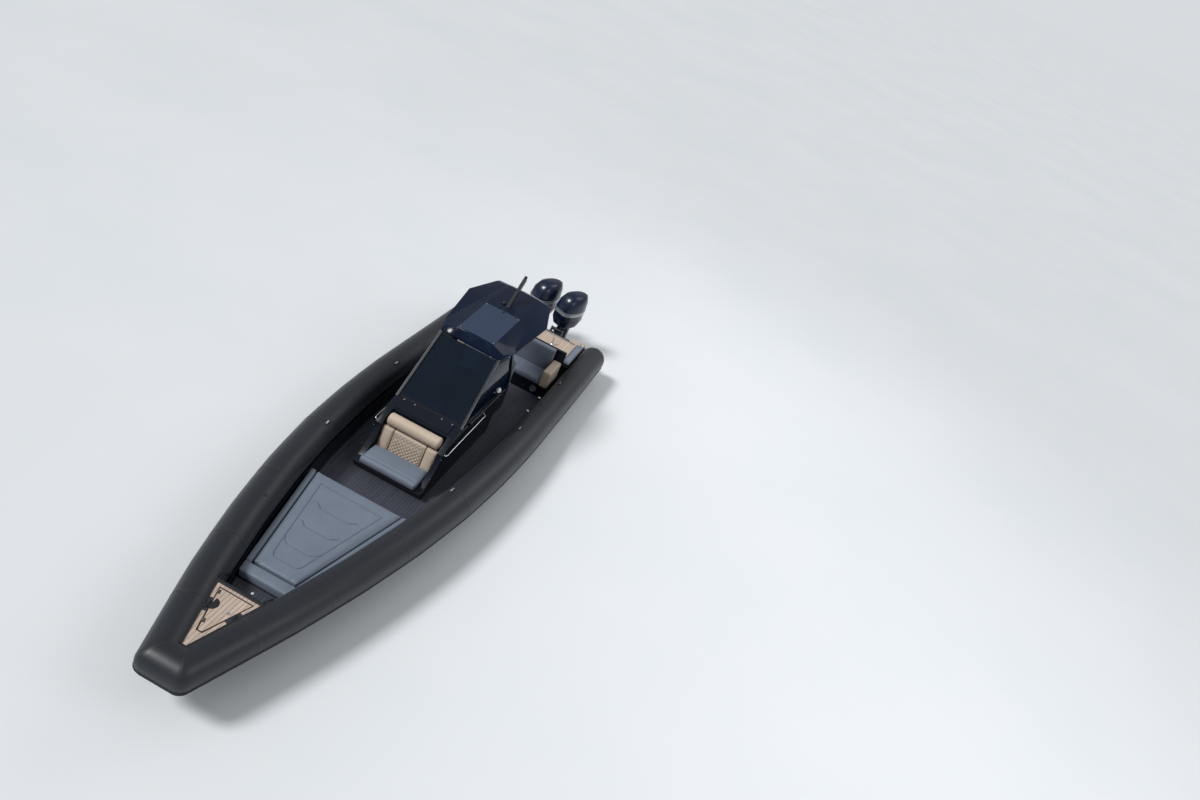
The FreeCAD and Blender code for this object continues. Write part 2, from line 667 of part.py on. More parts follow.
def foredeck_plan(inset, z, height):
    """The foredeck's outline as a block, drawn in by an inset that is wider at its fore end."""
    fore_x = S["foredeck_fore_x"] - inset * INSET_FORE
    aft_x = S["foredeck_aft_x"] + inset * INSET_AFT
    span = S["foredeck_fore_x"] - S["foredeck_aft_x"]
    slope = (S["foredeck_aft_half"] - S["foredeck_fore_half"]) / span
    fore = S["foredeck_aft_half"] - slope * (fore_x - S["foredeck_aft_x"]) - inset
    aft = S["foredeck_aft_half"] - slope * (aft_x - S["foredeck_aft_x"]) - inset
    plan = [(fore_x, fore, z), (aft_x, aft, z), (aft_x, -aft, z), (fore_x, -fore, z)]
    return Part.Face(polygon(plan)).extrude(Vector(0, 0, height))


foredeck = foredeck_plan(0, S["foredeck_bottom"], S["foredeck_top"] - S["foredeck_bottom"])
for room in tube_room:
    foredeck = foredeck.cut(room)
lid_under = S["foredeck_top"] - S["locker_board"]
foredeck = foredeck.cut(locker_well).cut(locker_plan(S["locker_gap"], lid_under, CUT_HEIGHT))
feature("foredeck", foredeck)

tan = foredeck_plan(S["foredeck_edge"], S["foredeck_top"], S["planking"])
tan = tan.cut(locker_plan(S["locker_gap"], lid_under, CUT_HEIGHT))
for room in tube_room:
    tan = tan.cut(room)
feature("foredeck_planking", tan)

# Places of the lid's hinges along its starboard edge.
HINGE_SHARES = [0.1, 0.78]
lid_top = S["foredeck_top"] + S["planking"]
lid = locker_plan(0, lid_under + lift, lid_top - lid_under - lift)
hinge_slope = (S["locker_aft_half"] - S["locker_fore_half"]) / (S["locker_fore_x"] - S["locker_aft_x"])
hinge_heading = math.degrees(math.atan(hinge_slope))
hinge_z = lid_top + S["knuckle_radius"] + lift
for share in HINGE_SHARES:
    x = S["locker_aft_x"] + share * (S["locker_fore_x"] - S["locker_aft_x"])
    y = -(S["locker_aft_half"] - hinge_slope * (x - S["locker_aft_x"]))
    barrel = Part.makeCylinder(S["knuckle_radius"], S["knuckle_length"],
                               Vector(-S["knuckle_length"] / 2, 0, 0), Vector(1, 0, 0))
    leaf = Part.makeBox(S["knuckle_length"], S["hinge_leaf"], hinge_z - lid_top,
                        Vector(-S["knuckle_length"] / 2, 0, lid_top - hinge_z))
    hinge = barrel.fuse(leaf)
    hinge.rotate(Vector(0, 0, 0), Vector(0, 0, 1), hinge_heading)
    hinge.translate(Vector(x, y, hinge_z))
    lid = lid.fuse(hinge)
feature("bow_locker_lid", lid)

cleat_loop = [("cleat_x + cleat_length / 2", "cleat_y - cleat_width / 2"),
              ("cleat_x + cleat_length / 2", "cleat_y + cleat_width / 2"),
              ("cleat_x - cleat_length / 2", "cleat_y + cleat_width / 2"),
              ("cleat_x - cleat_length / 2", "cleat_y - cleat_width / 2")]
prism("bow_cleats", "XY", [cleat_loop, mirrored_plan(cleat_loop)], "foredeck_top + planking", "cleat_height")

step_aft = S["sunpad_fore_x"] + S["step_gap"]
step_ends = [(x, cockpit_half(x) - S["step_gap"]) for x in (panel_fore, TUBE_PATH[1][0], step_aft)]
plan = [(x, y, floor_z) for x, y in step_ends] + [(x, -y, floor_z) for x, y in reversed(step_ends)]
feature("bow_step", Part.Face(polygon(plan)).extrude(Vector(0, 0, S["step_top"] - floor_z)))

# Sunpad

sunpad_plan = closed_plan([("sunpad_fore_x", "sunpad_fore_half"), ("sunpad_aft_x", "sunpad_aft_half")])
lid_plan = closed_plan([("sunpad_lid_fore_x", "sunpad_lid_fore_half"), ("sunpad_aft_x", "sunpad_lid_aft_half")])
well_plan = closed_plan([("sunpad_lid_fore_x - sunpad_rim", "sunpad_lid_fore_half - sunpad_rim"),
                         ("sunpad_aft_x + sunpad_rim", "sunpad_lid_aft_half - sunpad_rim")])
base = prism("sunpad_base", "XY", [sunpad_plan], "deck_height + planking",
             "sunpad_base_top - deck_height - planking")
pocket(base, "XY", [well_plan], "sunpad_floor", "sunpad_base_top - sunpad_floor")

border_plan = [("sunpad_fore_x", "sunpad_fore_half"), ("sunpad_aft_x", "sunpad_aft_half"),
               ("sunpad_aft_x", "sunpad_lid_aft_half + lid_gap"),
               ("sunpad_lid_fore_x + lid_gap", "sunpad_lid_fore_half + lid_gap"),
               ("sunpad_lid_fore_x + lid_gap", "-(sunpad_lid_fore_half + lid_gap)"),
               ("sunpad_aft_x", "-(sunpad_lid_aft_half + lid_gap)"),
               ("sunpad_aft_x", "-sunpad_aft_half"), ("sunpad_fore_x", "-sunpad_fore_half")]
prism("sunpad_border", "XY", [border_plan], "sunpad_base_top + seat_gap", "sunpad_top - sunpad_base_top - seat_gap")
sunpad_lid = prism("sunpad_lid", "XY", [lid_plan], "sunpad_base_top + seat_gap", "lid_board")
knuckle(sunpad_lid, "sunpad_aft_x - knuckle_radius + knuckle_bite", "sunpad_base_top + seat_gap + lid_board / 2",
        "sunpad_lid_aft_half - sunpad_rim")
prism("sunpad_lid_cushion", "XY", [lid_plan], "sunpad_base_top + 2 * seat_gap + lid_board",
      "sunpad_top - sunpad_base_top - 2 * seat_gap - lid_board")

# Console and front seat

console_side = [
    ("console_fore_x", "deck_height + planking"),
    ("seat_fore_x", "seat_base_top"),
    ("cheek_foot_x", "seat_base_top"),
    ("cheek_fore_x", "cheek_low_z"),
    ("cheek_top_x", "cheek_top_z"),
    ("shoulder_x", "shoulder_z"),
    ("screen_foot_x", "screen_foot_z"),
    ("dash_x", "dash_z"),
    ("helm_x", "helm_z"),
    ("helm_x", "deck_height + planking"),
]
console = prism("console", "XZ", [console_side], "0 * console_half", "2 * console_half", symmetric=True)
# The seat lies between the cheeks, against a wall that leans as its backrest does.
seat_well = [
    ("seat_fore_x", "seat_base_top"),
    ("back_foot_x", "seat_base_top"),
    ("back_head_x", "back_top"),
    ("shoulder_x", "back_top"),
    ("shoulder_x", "dash_z"),
    ("seat_fore_x", "dash_z"),
]
pocket(console, "XZ", [seat_well], "-seat_half - cushion_gap", "2 * (seat_half + cushion_gap)")
hatch_well = closed_plan([("hatch_fore_x - locker_ledge", "hatch_half - locker_ledge"),
                          ("hatch_aft_x + locker_ledge", "hatch_half - locker_ledge")])
pocket(console, "XY", [hatch_well], "hatch_floor", "dash_z - hatch_floor")
doc.recompute()
console_solid = console.Shape

# The hatch lies on the console's top slope.
TOP_SLOPE = "(screen_foot_z - shoulder_z) / (shoulder_x - screen_foot_x)"
HATCH_FORE = "shoulder_z + seat_gap + %s * (shoulder_x - hatch_fore_x)" % TOP_SLOPE
HATCH_AFT = "shoulder_z + seat_gap + %s * (shoulder_x - hatch_aft_x)" % TOP_SLOPE
hatch_loop = [("hatch_fore_x", HATCH_FORE), ("hatch_aft_x", HATCH_AFT),
              ("hatch_aft_x", HATCH_AFT + " + hatch_thick"), ("hatch_fore_x", HATCH_FORE + " + hatch_thick")]
hatch = prism("console_hatch", "XZ", [hatch_loop], "0 * hatch_half", "2 * hatch_half", symmetric=True)
knuckle(hatch, "hatch_aft_x - knuckle_radius + knuckle_bite", HATCH_AFT + " + hatch_thick - knuckle_radius",
        "hatch_half - 2 * knuckle_length")

seat_plan = closed_plan([("seat_fore_x + seat_overhang", "seat_half"),
                         ("back_foot_x + back_thick + seat_gap", "seat_half")])
prism("front_seat_cushion", "XY", [seat_plan], "seat_base_top + seat_gap", "seat_top - seat_base_top")

back_side = [
    ("back_foot_x + seat_gap", "seat_base_top + seat_gap"),
    ("back_foot_x + back_thick", "seat_base_top + seat_gap"),
    ("back_head_x + back_thick", "back_top"),
    ("back_head_x + seat_gap", "back_top"),
]
prism("front_backrest", "XZ", [back_side], "0 * back_top", "2 * back_panel_half", symmetric=True)
bolsters = prism("front_bolsters", "XZ", [back_side], "0 * back_top", "2 * seat_half", symmetric=True)
middle = closed_plan([("back_foot_x + 2 * back_thick", "back_panel_half + cushion_gap"),
                      ("back_head_x - back_thick", "back_panel_half + cushion_gap")])
pocket(bolsters, "XY", [middle], "seat_base_top", "back_top - seat_base_top + seat_gap")

roll = doc.addObject("Part::Cylinder", "headrest_roll")
roll.Label = "headrest_roll"
roll.setExpression("Radius", bind("roll_radius"))
roll.setExpression("Height", bind("2 * roll_half"))
roll.Placement = FreeCAD.Placement(Vector(0, 0, 0), Rotation(Vector(1, 0, 0), -90))
roll.setExpression("Placement.Base.x", bind("roll_x"))
roll.setExpression("Placement.Base.y", bind("-roll_half"))
roll.setExpression("Placement.Base.z", bind("back_top + seat_gap + roll_radius"))

# Windscreen, side glass and the frames that carry the hardtop


def along(start, end, share):
    return tuple(a + share * (b - a) for a, b in zip(start, end))


def pane(fore, aft):
    """A pane between two lines of points, as thick as the glass."""
    inward = Vector(0, -S["glass_thick"], 0)
    cells = []
    for i in range(len(fore) - 1):
        ends = []
        for line in (fore, aft):
            low, high = Vector(*line[i]), Vector(*line[i + 1])
            ends.append([low, high, high + inward, low + inward])
        cells.append(ruled(ends))
    return cells[0].fuse(cells[1:])


# The screen and its pillars are made past the console's top by this share of their length, then cut there.
FOOT_SUNK = 0.05
GLASS_HEAD = 0.985
screen_foot = (S["screen_foot_x"], S["screen_foot_half"], S["screen_foot_z"])
screen_head = (S["screen_head_x"], S["screen_head_half"], S["screen_head_z"])
rake = (Vector(*screen_head) - Vector(*screen_foot)).normalize()
out = Vector(-rake.z, 0, rake.x) * -1
out.normalize()
low = along(screen_foot, screen_head, -FOOT_SUNK)
high = along(screen_foot, screen_head, GLASS_HEAD)
front_pane = []
for x, y, z in (low, high):
    half = y
    near = (x, half, z)
    far = (x + out.x * S["glass_thick"], half, z + out.z * S["glass_thick"])
    front_pane.append([near, far, (far[0], -half, far[2]), (near[0], -half, near[2])])
windscreen = ruled(front_pane)

frame_foot = along(screen_foot, screen_head, -FOOT_SUNK)
roof_corner = (-1760, 722, 2200)
rail_y = S["console_half"] + S["frame_width"] / 2 + lift
# The aft frame drops from the hardtop's corner and turns forward along the console's side.
AFT_FRAME = [roof_corner, (-1830, 752, 1960), (-1960, 762, 1620), (-2048, 750, 1380), (-2050, 730, 1250),
             (-1975, rail_y, 1185), (-1840, rail_y, 1165), (-560, rail_y, 1180)]

side_low = [along(screen_foot, screen_head, share) for share in (0.02, 0.5, 0.93)]
side_high = [(-2020, 748, 1345), (-1900, 757, 1780), (-1790, 730, 2140)]
side_pane = pane(side_low, side_high)

pillar = bar([frame_foot, screen_head], S["frame_width"], S["frame_depth"]).cut(console_solid)
wing = bar(AFT_FRAME, S["frame_width"], S["frame_depth"])
frames = [pillar, wing, flip(pillar), flip(wing)]
feature("hardtop_frames", Part.makeCompound(frames))

windscreen = largest(windscreen.cut(pillar).cut(flip(pillar)).cut(console_solid))
side_pane = largest(side_pane.cut(pillar).cut(wing).cut(console_solid))
feature("glazing", Part.makeCompound([windscreen, side_pane, flip(side_pane)]))

# Helm

wing_side = [("helm_x - seat_gap", "deck_height + planking"), ("helm_x - seat_gap", "wing_top"),
             ("wing_aft_x", "wing_top"), ("wing_aft_x + wing_rake", "deck_height + planking")]
side_wing = prism("console_wings", "XZ", [wing_side], "0 * console_half", "2 * console_half", symmetric=True)
pocket(side_wing, "XY", [closed_plan([("helm_x", "console_half - console_wall"),
                                      ("wing_aft_x - console_wall", "console_half - console_wall")])],
       "deck_height", "wing_top")


def on_column(shape):
    """Turn a shape built about +Z to the steering column and move it to the wheel."""
    shape.rotate(Vector(0, 0, 0), Vector(0, 1, 0), S["wheel_rake"] - 90)
    shape.translate(Vector(S["wheel_x"], S["wheel_y"], S["wheel_z"]))
    return shape


rim = Part.makeTorus(S["wheel_radius"], S["wheel_rim"])
hub = Part.makeCylinder(S["wheel_hub"], S["wheel_hub"], Vector(0, 0, -S["hub_back"]))
wheel = rim.fuse(hub)
for turn in (90, 210, 330):
    spoke = Part.makeBox(S["wheel_radius"], S["spoke_width"], S["spoke_thick"],
                         Vector(0, -S["spoke_width"] / 2, -S["spoke_thick"] / 2))
    spoke.rotate(Vector(0, 0, 0), Vector(0, 0, 1), turn)
    wheel = wheel.fuse(spoke)
feature("steering_wheel", on_column(wheel.removeSplitter()))

column_end = -S["hub_back"] - lift
column = Part.makeCylinder(S["column_radius"], S["column_length"], Vector(0, 0, column_end - S["column_length"]))
displays = Part.makeBox(S["display_thick"], S["display_width"], S["display_height"],
                        Vector(0, -S["display_width"] / 2, 0))
panel_slope = math.degrees(math.atan((S["dash_x"] - S["helm_x"]) / (S["dash_z"] - S["helm_z"])))
displays.rotate(Vector(0, 0, 0), Vector(0, 1, 0), -panel_slope)
displays.translate(Vector(S["dash_x"] - S["display_height"] / 3, -S["wheel_y"] / 2,
                          S["dash_z"] - S["display_height"] / 2))
throttle = Part.makeBox(S["throttle_length"], S["throttle_width"], S["throttle_height"],
                        Vector(S["dash_x"] - S["throttle_length"], S["throttle_y"], S["dash_z"] - S["throttle_height"]))
lever = Part.makeCylinder(S["lever_radius"], S["lever_length"],
                          Vector(S["dash_x"] - S["throttle_length"] / 2, S["throttle_y"] + S["throttle_width"] / 2,
                                 S["dash_z"] - S["lever_radius"]))
fittings = [piece.cut(console_solid) for piece in (on_column(column), displays, throttle.fuse(lever))]
feature("helm_fittings", Part.makeCompound([largest(piece) for piece in fittings]))

pod_loop = closed_plan([("helm_seat_fore_x", "helm_seat_half"), ("helm_seat_aft_x", "helm_seat_half")])
prism("helm_seat_pod", "XY", [pod_loop], "deck_height + planking", "helm_seat_base_top - deck_height - planking")
cushion_loop = [("helm_seat_fore_x", "helm_seat_gap / 2"), ("helm_seat_fore_x", "helm_seat_half"),
                ("helm_seat_aft_x + helm_back_thick + seat_gap", "helm_seat_half"),
                ("helm_seat_aft_x + helm_back_thick + seat_gap", "helm_seat_gap / 2")]
prism("helm_seat_cushions", "XY", [cushion_loop, mirrored_plan(cushion_loop)], "helm_seat_base_top + seat_gap",
      "helm_seat_top - helm_seat_base_top")
back_loop = [("helm_seat_aft_x + helm_back_thick", "helm_seat_gap / 2"),
             ("helm_seat_aft_x + helm_back_thick", "helm_seat_half"),
             ("helm_seat_aft_x", "helm_seat_half"), ("helm_seat_aft_x", "helm_seat_gap / 2")]
prism("helm_seat_backs", "XY", [back_loop, mirrored_plan(back_loop)], "helm_seat_base_top + seat_gap",
      "helm_seat_back_top - helm_seat_base_top")


# Hardtop, roof panel and mast

def roof_section(x, middle_z, crown, crease, edge, share):
    """The hardtop's outline at x: its faceted top, its edges and its underside."""
    under_edge = (edge[0] - S["roof_lip"], edge[1] - share * S["roof_edge"])
    under_crown = (crown[0], crown[1] - share * S["roof_thick"])
    half = [crown, crease, edge, under_edge, under_crown]
    port = [(x, y, z) for y, z in half]
    starboard = [(x, -y, z) for y, z in reversed(half)]
    return [(x, 0, middle_z)] + port + starboard


roof_solid = ruled([roof_section(*row) for row in ROOF_SECTIONS])
hardtop = roof_solid
for member in frames + [windscreen, side_pane, flip(side_pane)]:
    hardtop = hardtop.cut(member)
feature("hardtop", largest(hardtop))


def roof_z(x, y):
    """Height of the hardtop's top between its crowns."""
    table = [(row[0], row[1], row[2][1]) for row in ROOF_SECTIONS]
    middle_z = between(table, x, 1)
    crown_z = between(table, x, 2)
    return middle_z + abs(y) / ROOF_CROWN * (crown_z - middle_z)


panel_sections = []
for x in (S["panel_fore_x"], ROOF_SECTIONS[2][0], S["panel_aft_x"]):
    half = S["panel_half"]
    under = [(x, half, roof_z(x, half) + lift), (x, 0, roof_z(x, 0) + lift), (x, -half, roof_z(x, half) + lift)]
    over = [(a, b, c + S["panel_thick"]) for a, b, c in reversed(under)]
    panel_sections.append(under + over)
feature("roof_panel", ruled(panel_sections))

mast_foot = (S["mast_foot_x"], 0, roof_z(S["mast_foot_x"], 0) - S["roof_edge"])
mast_head = (S["mast_head_x"], 0, S["mast_head_z"])
mast = bar([mast_foot, mast_head], S["mast_width"], S["mast_depth"])
light = Part.makeCylinder(S["mast_width"] / 2, S["mast_light"], Vector(*mast_head))
feature("mast", largest(mast.fuse(light).cut(roof_solid)))

# Aft bench

# Half breadths at the stern, measured from the bulwark or the tubes.
BULWARK = "tube_stern_y - tube_radius - bulwark_inset"
BENCH_HALF = "(%s - bench_clear)" % BULWARK
BOLSTER_HALF = "(%s - bolster_inset)" % BENCH_HALF
SEAT_HALF = "(%s - bolster_width - cushion_gap)" % BOLSTER_HALF

bench_side = [
    ("bench_fore_x", "deck_height"),
    ("bench_fore_x", "bench_base_top"),
    ("bench_back_x - seat_gap", "bench_base_top"),
    ("bench_back_x - seat_gap", "bench_back_top - bench_rim"),
    ("bench_back_x - bench_wall", "bench_back_top - bench_rim"),
    ("bench_back_x - bench_wall", "deck_height"),
]
prism("aft_bench", "XZ", [bench_side], "0 * bench_wall", "2 * " + BENCH_HALF, symmetric=True)
bench_seat_plan = closed_plan([("bench_fore_x + bench_overhang", SEAT_HALF),
                               ("bench_seat_x + seat_gap", SEAT_HALF)])
prism("aft_seat_cushion", "XY", [bench_seat_plan], "bench_base_top + seat_gap", "bench_seat_top - bench_base_top")
bench_back_plan = closed_plan([("bench_seat_x", SEAT_HALF), ("bench_back_x", SEAT_HALF)])
prism("aft_backrest", "XY", [bench_back_plan], "bench_base_top + seat_gap", "bench_back_top - bench_base_top")
bolster_loop = [("bench_fore_x + 2 * bench_overhang", BOLSTER_HALF + " - bolster_width"),
                ("bench_fore_x + 2 * bench_overhang", BOLSTER_HALF),
                ("bench_back_x", BOLSTER_HALF), ("bench_back_x", BOLSTER_HALF + " - bolster_width")]
prism("aft_bolsters", "XY", [bolster_loop, mirrored_plan(bolster_loop)], "bench_base_top + seat_gap",
      "bolster_top - bench_base_top")

# Aft deck, side pads and swim platforms

AFT_BOX = "(%s - aft_deck_clear)" % BULWARK
AFT_FLANGE = "(tube_stern_y - tube_radius + aft_flange_over)"
PAD_OUTER = "(%s - side_pad_inset)" % AFT_FLANGE
PAD_INNER = "(%s - side_pad_width)" % PAD_OUTER

aft_half = [(AFT_BOX, "deck_height"), (AFT_BOX, "aft_deck_top - aft_flange"),
            (AFT_FLANGE, "aft_deck_top - aft_flange"), (AFT_FLANGE, "aft_deck_top")]
aft_loop = aft_half + [("-(%s)" % y, z) for y, z in reversed(aft_half)]
prism("aft_deck", "YZ", [aft_loop], "aft_deck_x", "bench_back_x - bench_wall - seat_gap - aft_deck_x")

PAD_FORE = "bench_back_x - bench_wall - side_pad_set"
PAD_AFT = "aft_deck_x + planking_gap"
pad_loop = [(PAD_FORE, PAD_INNER), (PAD_FORE, PAD_OUTER), (PAD_AFT, PAD_OUTER), (PAD_AFT, PAD_INNER)]
prism("side_pads", "XY", [pad_loop, mirrored_plan(pad_loop)], "aft_deck_top + seat_gap", "side_pad_top - aft_deck_top")

PLATFORM_OUTER = "(%s - platform_clear)" % BULWARK
PLATFORM_FORE = "aft_deck_x - seat_gap"
PLATFORM_AFT = "transom_x + transom_wall + seat_gap"
platform_loop = [(PLATFORM_FORE, "platform_inner"), (PLATFORM_FORE, PLATFORM_OUTER),
                 (PLATFORM_AFT, PLATFORM_OUTER), (PLATFORM_AFT, "platform_inner")]
prism("swim_platforms", "XY", [platform_loop, mirrored_plan(platform_loop)], "deck_height",
      "platform_top - deck_height")

# The tan planking lies inside the edges of what carries it.
deck_loop = closed_plan([("bench_back_x - bench_wall - planking_gap / 2", PAD_INNER + " - planking_gap"),
                         ("aft_deck_x + planking_gap / 2", PAD_INNER + " - planking_gap")])
prism("aft_deck_planking", "XY", [deck_loop], "aft_deck_top", "planking")
tan_loop = [("aft_deck_x - planking_gap / 2", "platform_inner + planking_gap / 2"),
            ("aft_deck_x - planking_gap / 2", PLATFORM_OUTER + " - planking_gap / 2"),
            ("transom_x + transom_wall + planking_gap / 2", PLATFORM_OUTER + " - planking_gap / 2"),
            ("transom_x + transom_wall + planking_gap / 2", "platform_inner + planking_gap / 2")]
prism("platform_planking", "XY", [tan_loop, mirrored_plan(tan_loop)], "platform_top", "planking")

# Towing eyes

def eye(x, y, z):
    """A round plate across the boat with its bore."""
    t = S["eye_thick"]
    plate = Part.makeCylinder(S["eye_radius"], t, Vector(x, y - t / 2, z), Vector(0, 1, 0))
    return plate.cut(Part.makeCylinder(S["eye_bore"], 2 * t, Vector(x, y - t, z), Vector(0, 1, 0)))


stem_z = between([row[:2] for row in HULL_STATIONS], S["bow_eye_x"], 1)
bow_eye = eye(S["bow_eye_x"], 0, stem_z - S["eye_stand"]).cut(outer)
stern_eye = eye(S["transom_x"] - S["eye_stand"], S["stern_eye_y"], S["stern_eye_z"])
stern_eye = stern_eye.cut(half_space((S["transom_x"], 0, 0), (1, 0, 0)))
feature("towing_eyes", Part.makeCompound([largest(bow_eye), largest(stern_eye), flip(largest(stern_eye))]))

# Places of the tube handholds along the boat.
HANDHOLDS = [1000, -1600, -3900]
handholds = []
for x in HANDHOLDS:
    pad = Part.makeBox(S["handhold_length"], S["handhold_width"], S["handhold_thick"],
                       Vector(-S["handhold_length"] / 2, -S["handhold_width"] / 2, tube_r(x) - lift))
    pad.rotate(Vector(0, 0, 0), Vector(1, 0, 0), S["handhold_angle"] - 90)
    near, far = x - S["handhold_length"], x + S["handhold_length"]
    pad.rotate(Vector(0, 0, 0), Vector(0, 0, 1), math.degrees(math.atan((tube_y(far) - tube_y(near)) / (far - near))))
    pad.translate(Vector(x, tube_y(x), tube_z(x)))
    handholds.append(largest(pad.cut(tube_room[0])))
feature("tube_handholds", Part.makeCompound(handholds + [flip(pad) for pad in handholds]))


# Outboards, built about the middle of the transom bracket with the transom top at zero

def across(radius, half, x, z):
    """A cylinder across the boat."""
    return Part.makeCylinder(radius, 2 * half, Vector(x, -half, z), Vector(0, 1, 0))


def clamp_shape():
    half = S["clamp_half"]
    wall = S["clamp_wall"]
    drop = S["clamp_drop"]
    plate = Part.makeBox(wall, 2 * half, drop, Vector(-wall, -half, -drop))
    ears = []
    for y in (-half, half - wall):
        ear = Part.makeBox(S["clamp_reach"] - wall / 2, wall, drop + S["tilt_z"] / 2,
                           Vector(-S["clamp_reach"], y, -drop))
        boss = Part.makeCylinder(S["boss_radius"], wall, Vector(S["tilt_x"], y, S["tilt_z"]), Vector(0, 1, 0))
        ears += [ear, boss]
    tube = across(S["tilt_tube"], half, S["tilt_x"], S["tilt_z"])
    return plate.fuse(ears + [tube]).removeSplitter()


def swivel_shape():
    inner = S["clamp_half"] - S["clamp_wall"] - S["joint_gap"]
    drop = S["swivel_drop"]
    radius = S["swivel_radius"]
    arm = S["tilt_x"] - S["steer_x"]
    sleeve = across(S["boss_radius"] - S["joint_gap"], inner, S["tilt_x"], S["tilt_z"])
    tube = Part.makeCylinder(radius, drop + S["swivel_top"], Vector(S["steer_x"], 0, -drop))
    web = Part.makeBox(arm + radius / 2, 2 * radius, drop, Vector(S["steer_x"], -radius, -drop + radius))
    shape = sleeve.fuse([tube, web])
    shape = shape.cut(across(S["tilt_tube"] + lift, inner + radius, S["tilt_x"], S["tilt_z"]))
    bore = Part.makeCylinder(S["steer_pin"] + lift, 2 * drop,
                             Vector(S["steer_x"], 0, S["swivel_top"] - 2 * drop + lift))
    return shape.cut(bore).removeSplitter()


# Levels of a leg from its cowl down to its shaft: front x, aft x, half breadth.
LEG_SECTIONS = [(-150, -640, 165), (-290, -600, 105), (-295, -560, 80), (-300, -560, 42), (-300, -540, 26)]
# Breadth of a leg at its front and at its back, as shares of its half breadth.
LEG_NOSE = 0.35
LEG_TAIL = 0.3


def leg_shape():
    gap = S["joint_gap"]
    steer = S["steer_x"]
    top = S["swivel_top"] + gap
    low = -S["swivel_drop"] - gap
    plate_z = -S["leg_length"]
    shaft_z = plate_z - S["shaft_drop"]
    mounts = []
    for radius, z in ((S["yoke_radius"], top), (S["swivel_radius"], low - S["yoke_thick"])):
        mounts.append(Part.makeCylinder(radius, S["yoke_thick"], Vector(steer, 0, z)))
        mounts.append(Part.makeBox(S["yoke_reach"], 2 * radius, S["yoke_thick"],
                                   Vector(steer - S["yoke_reach"], -radius, z)))
    sections = []
    levels = (S["cowl_foot"] - lift, top + S["yoke_thick"], low, plate_z, shaft_z)
    for z, (fore, aft, half) in zip(levels, LEG_SECTIONS):
        middle = (fore + aft) / 2
        port = [(fore, LEG_NOSE * half, z), (middle, half, z), (aft, LEG_TAIL * half, z)]
        sections.append(port + [(x, -y, height) for x, y, height in reversed(port)])
    body = ruled(sections)
    mounts.append(Part.makeCylinder(S["steer_pin"], top - low, Vector(steer, 0, low)))
    aft_x = S["gearcase_aft_x"]
    radius = S["gearcase_radius"]
    case_length = S["gearcase_length"] - S["gearcase_nose"]
    gearcase = Part.makeCylinder(radius, case_length, Vector(aft_x, 0, shaft_z), Vector(1, 0, 0))
    nose = Part.makeCone(radius, radius / 5, S["gearcase_nose"],
                         Vector(aft_x + case_length, 0, shaft_z), Vector(1, 0, 0))
    plate = Part.makeBox(S["plate_length"], S["plate_width"], S["plate_thick"],
                         Vector(aft_x - S["plate_aft"], -S["plate_width"] / 2, plate_z))
    skeg_z = plate_z - S["skeg_drop"]
    half = S["plate_thick"]
    skeg = Part.Face(polygon([(aft_x + case_length, -half, shaft_z), (aft_x + radius / 2, -half, shaft_z),
                              (aft_x, -half, skeg_z), (aft_x + radius, -half, skeg_z)])).extrude(Vector(0, 2 * half, 0))
    shaft = Part.makeCylinder(S["shaft_radius"], S["shaft_length"], Vector(aft_x, 0, shaft_z), Vector(-1, 0, 0))
    return body.fuse(mounts + [gearcase, nose, plate, skeg, shaft]).removeSplitter()


def cowl_shape():
    sections = []
    for rise, fore, aft, breadth in COWL_LEVELS:
        z = S["cowl_foot"] + rise
        half = S["cowl_half"] * breadth
        port = [(fore + share * (aft - fore), wide * half, z) for share, wide in COWL_OUTLINE]
        sections.append(port + [(x, -y, z) for x, y, z in reversed(port)])
    return ruled(sections)


# A propeller blade: share of the radius, chord, thickness and pitch angle.
BLADE = [(0.2, 95, 12, 58), (0.6, 125, 8, 36), (1.0, 60, 4, 24)]


def propeller_shape():
    hub = Part.makeCylinder(S["hub_radius"], S["hub_length"], Vector(0, 0, 0), Vector(-1, 0, 0))
    sections = []
    for share, chord, thick, pitch in BLADE:
        a = math.radians(pitch)
        section = []
        for u, v in ((-chord, -thick), (chord, -thick), (chord, thick), (-chord, thick)):
            along_x = u / 2 * math.sin(a) + v / 2 * math.cos(a) - S["hub_length"] / 2
            section.append((along_x, u / 2 * math.cos(a) - v / 2 * math.sin(a), share * S["propeller_radius"]))
        sections.append(section)
    blades = []
    for turn in (0, 120, 240):
        blade = ruled(sections)
        blade.rotate(Vector(0, 0, 0), Vector(1, 0, 0), turn)
        blades.append(blade)
    depth = S["shaft_length"] - S["joint_gap"] + lift
    bore = Part.makeCylinder(S["shaft_radius"] + lift, 2 * depth, Vector(depth, 0, 0), Vector(-1, 0, 0))
    shape = hub.fuse(blades).cut(bore).removeSplitter()
    shape.translate(Vector(S["gearcase_aft_x"] - S["joint_gap"], 0, -S["leg_length"] - S["shaft_drop"]))
    return shape


def place_outboard(shape, side, steered):
    """Move an outboard's piece to its place on the transom, steered as it stands."""
    shape = shape.copy()
    if steered:
        shape.rotate(Vector(S["steer_x"], 0, 0), Vector(0, 0, 1), -S["rest_steer"])
    shape.translate(Vector(S["transom_x"], side * S["engine_y"], S["transom_top"]))
    return shape


OUTBOARD_PIECES = [
    ("bracket", clamp_shape(), False),
    ("swivel", swivel_shape(), False),
    ("leg", leg_shape(), True),
    ("cowl", cowl_shape(), True),
    ("propeller", propeller_shape(), True),
]
for name, side in (("port", 1), ("starboard", -1)):
    for piece, shape, steered in OUTBOARD_PIECES:
        feature("outboard_%s_%s" % (name, piece), place_outboard(shape, side, steered))

doc.recompute()

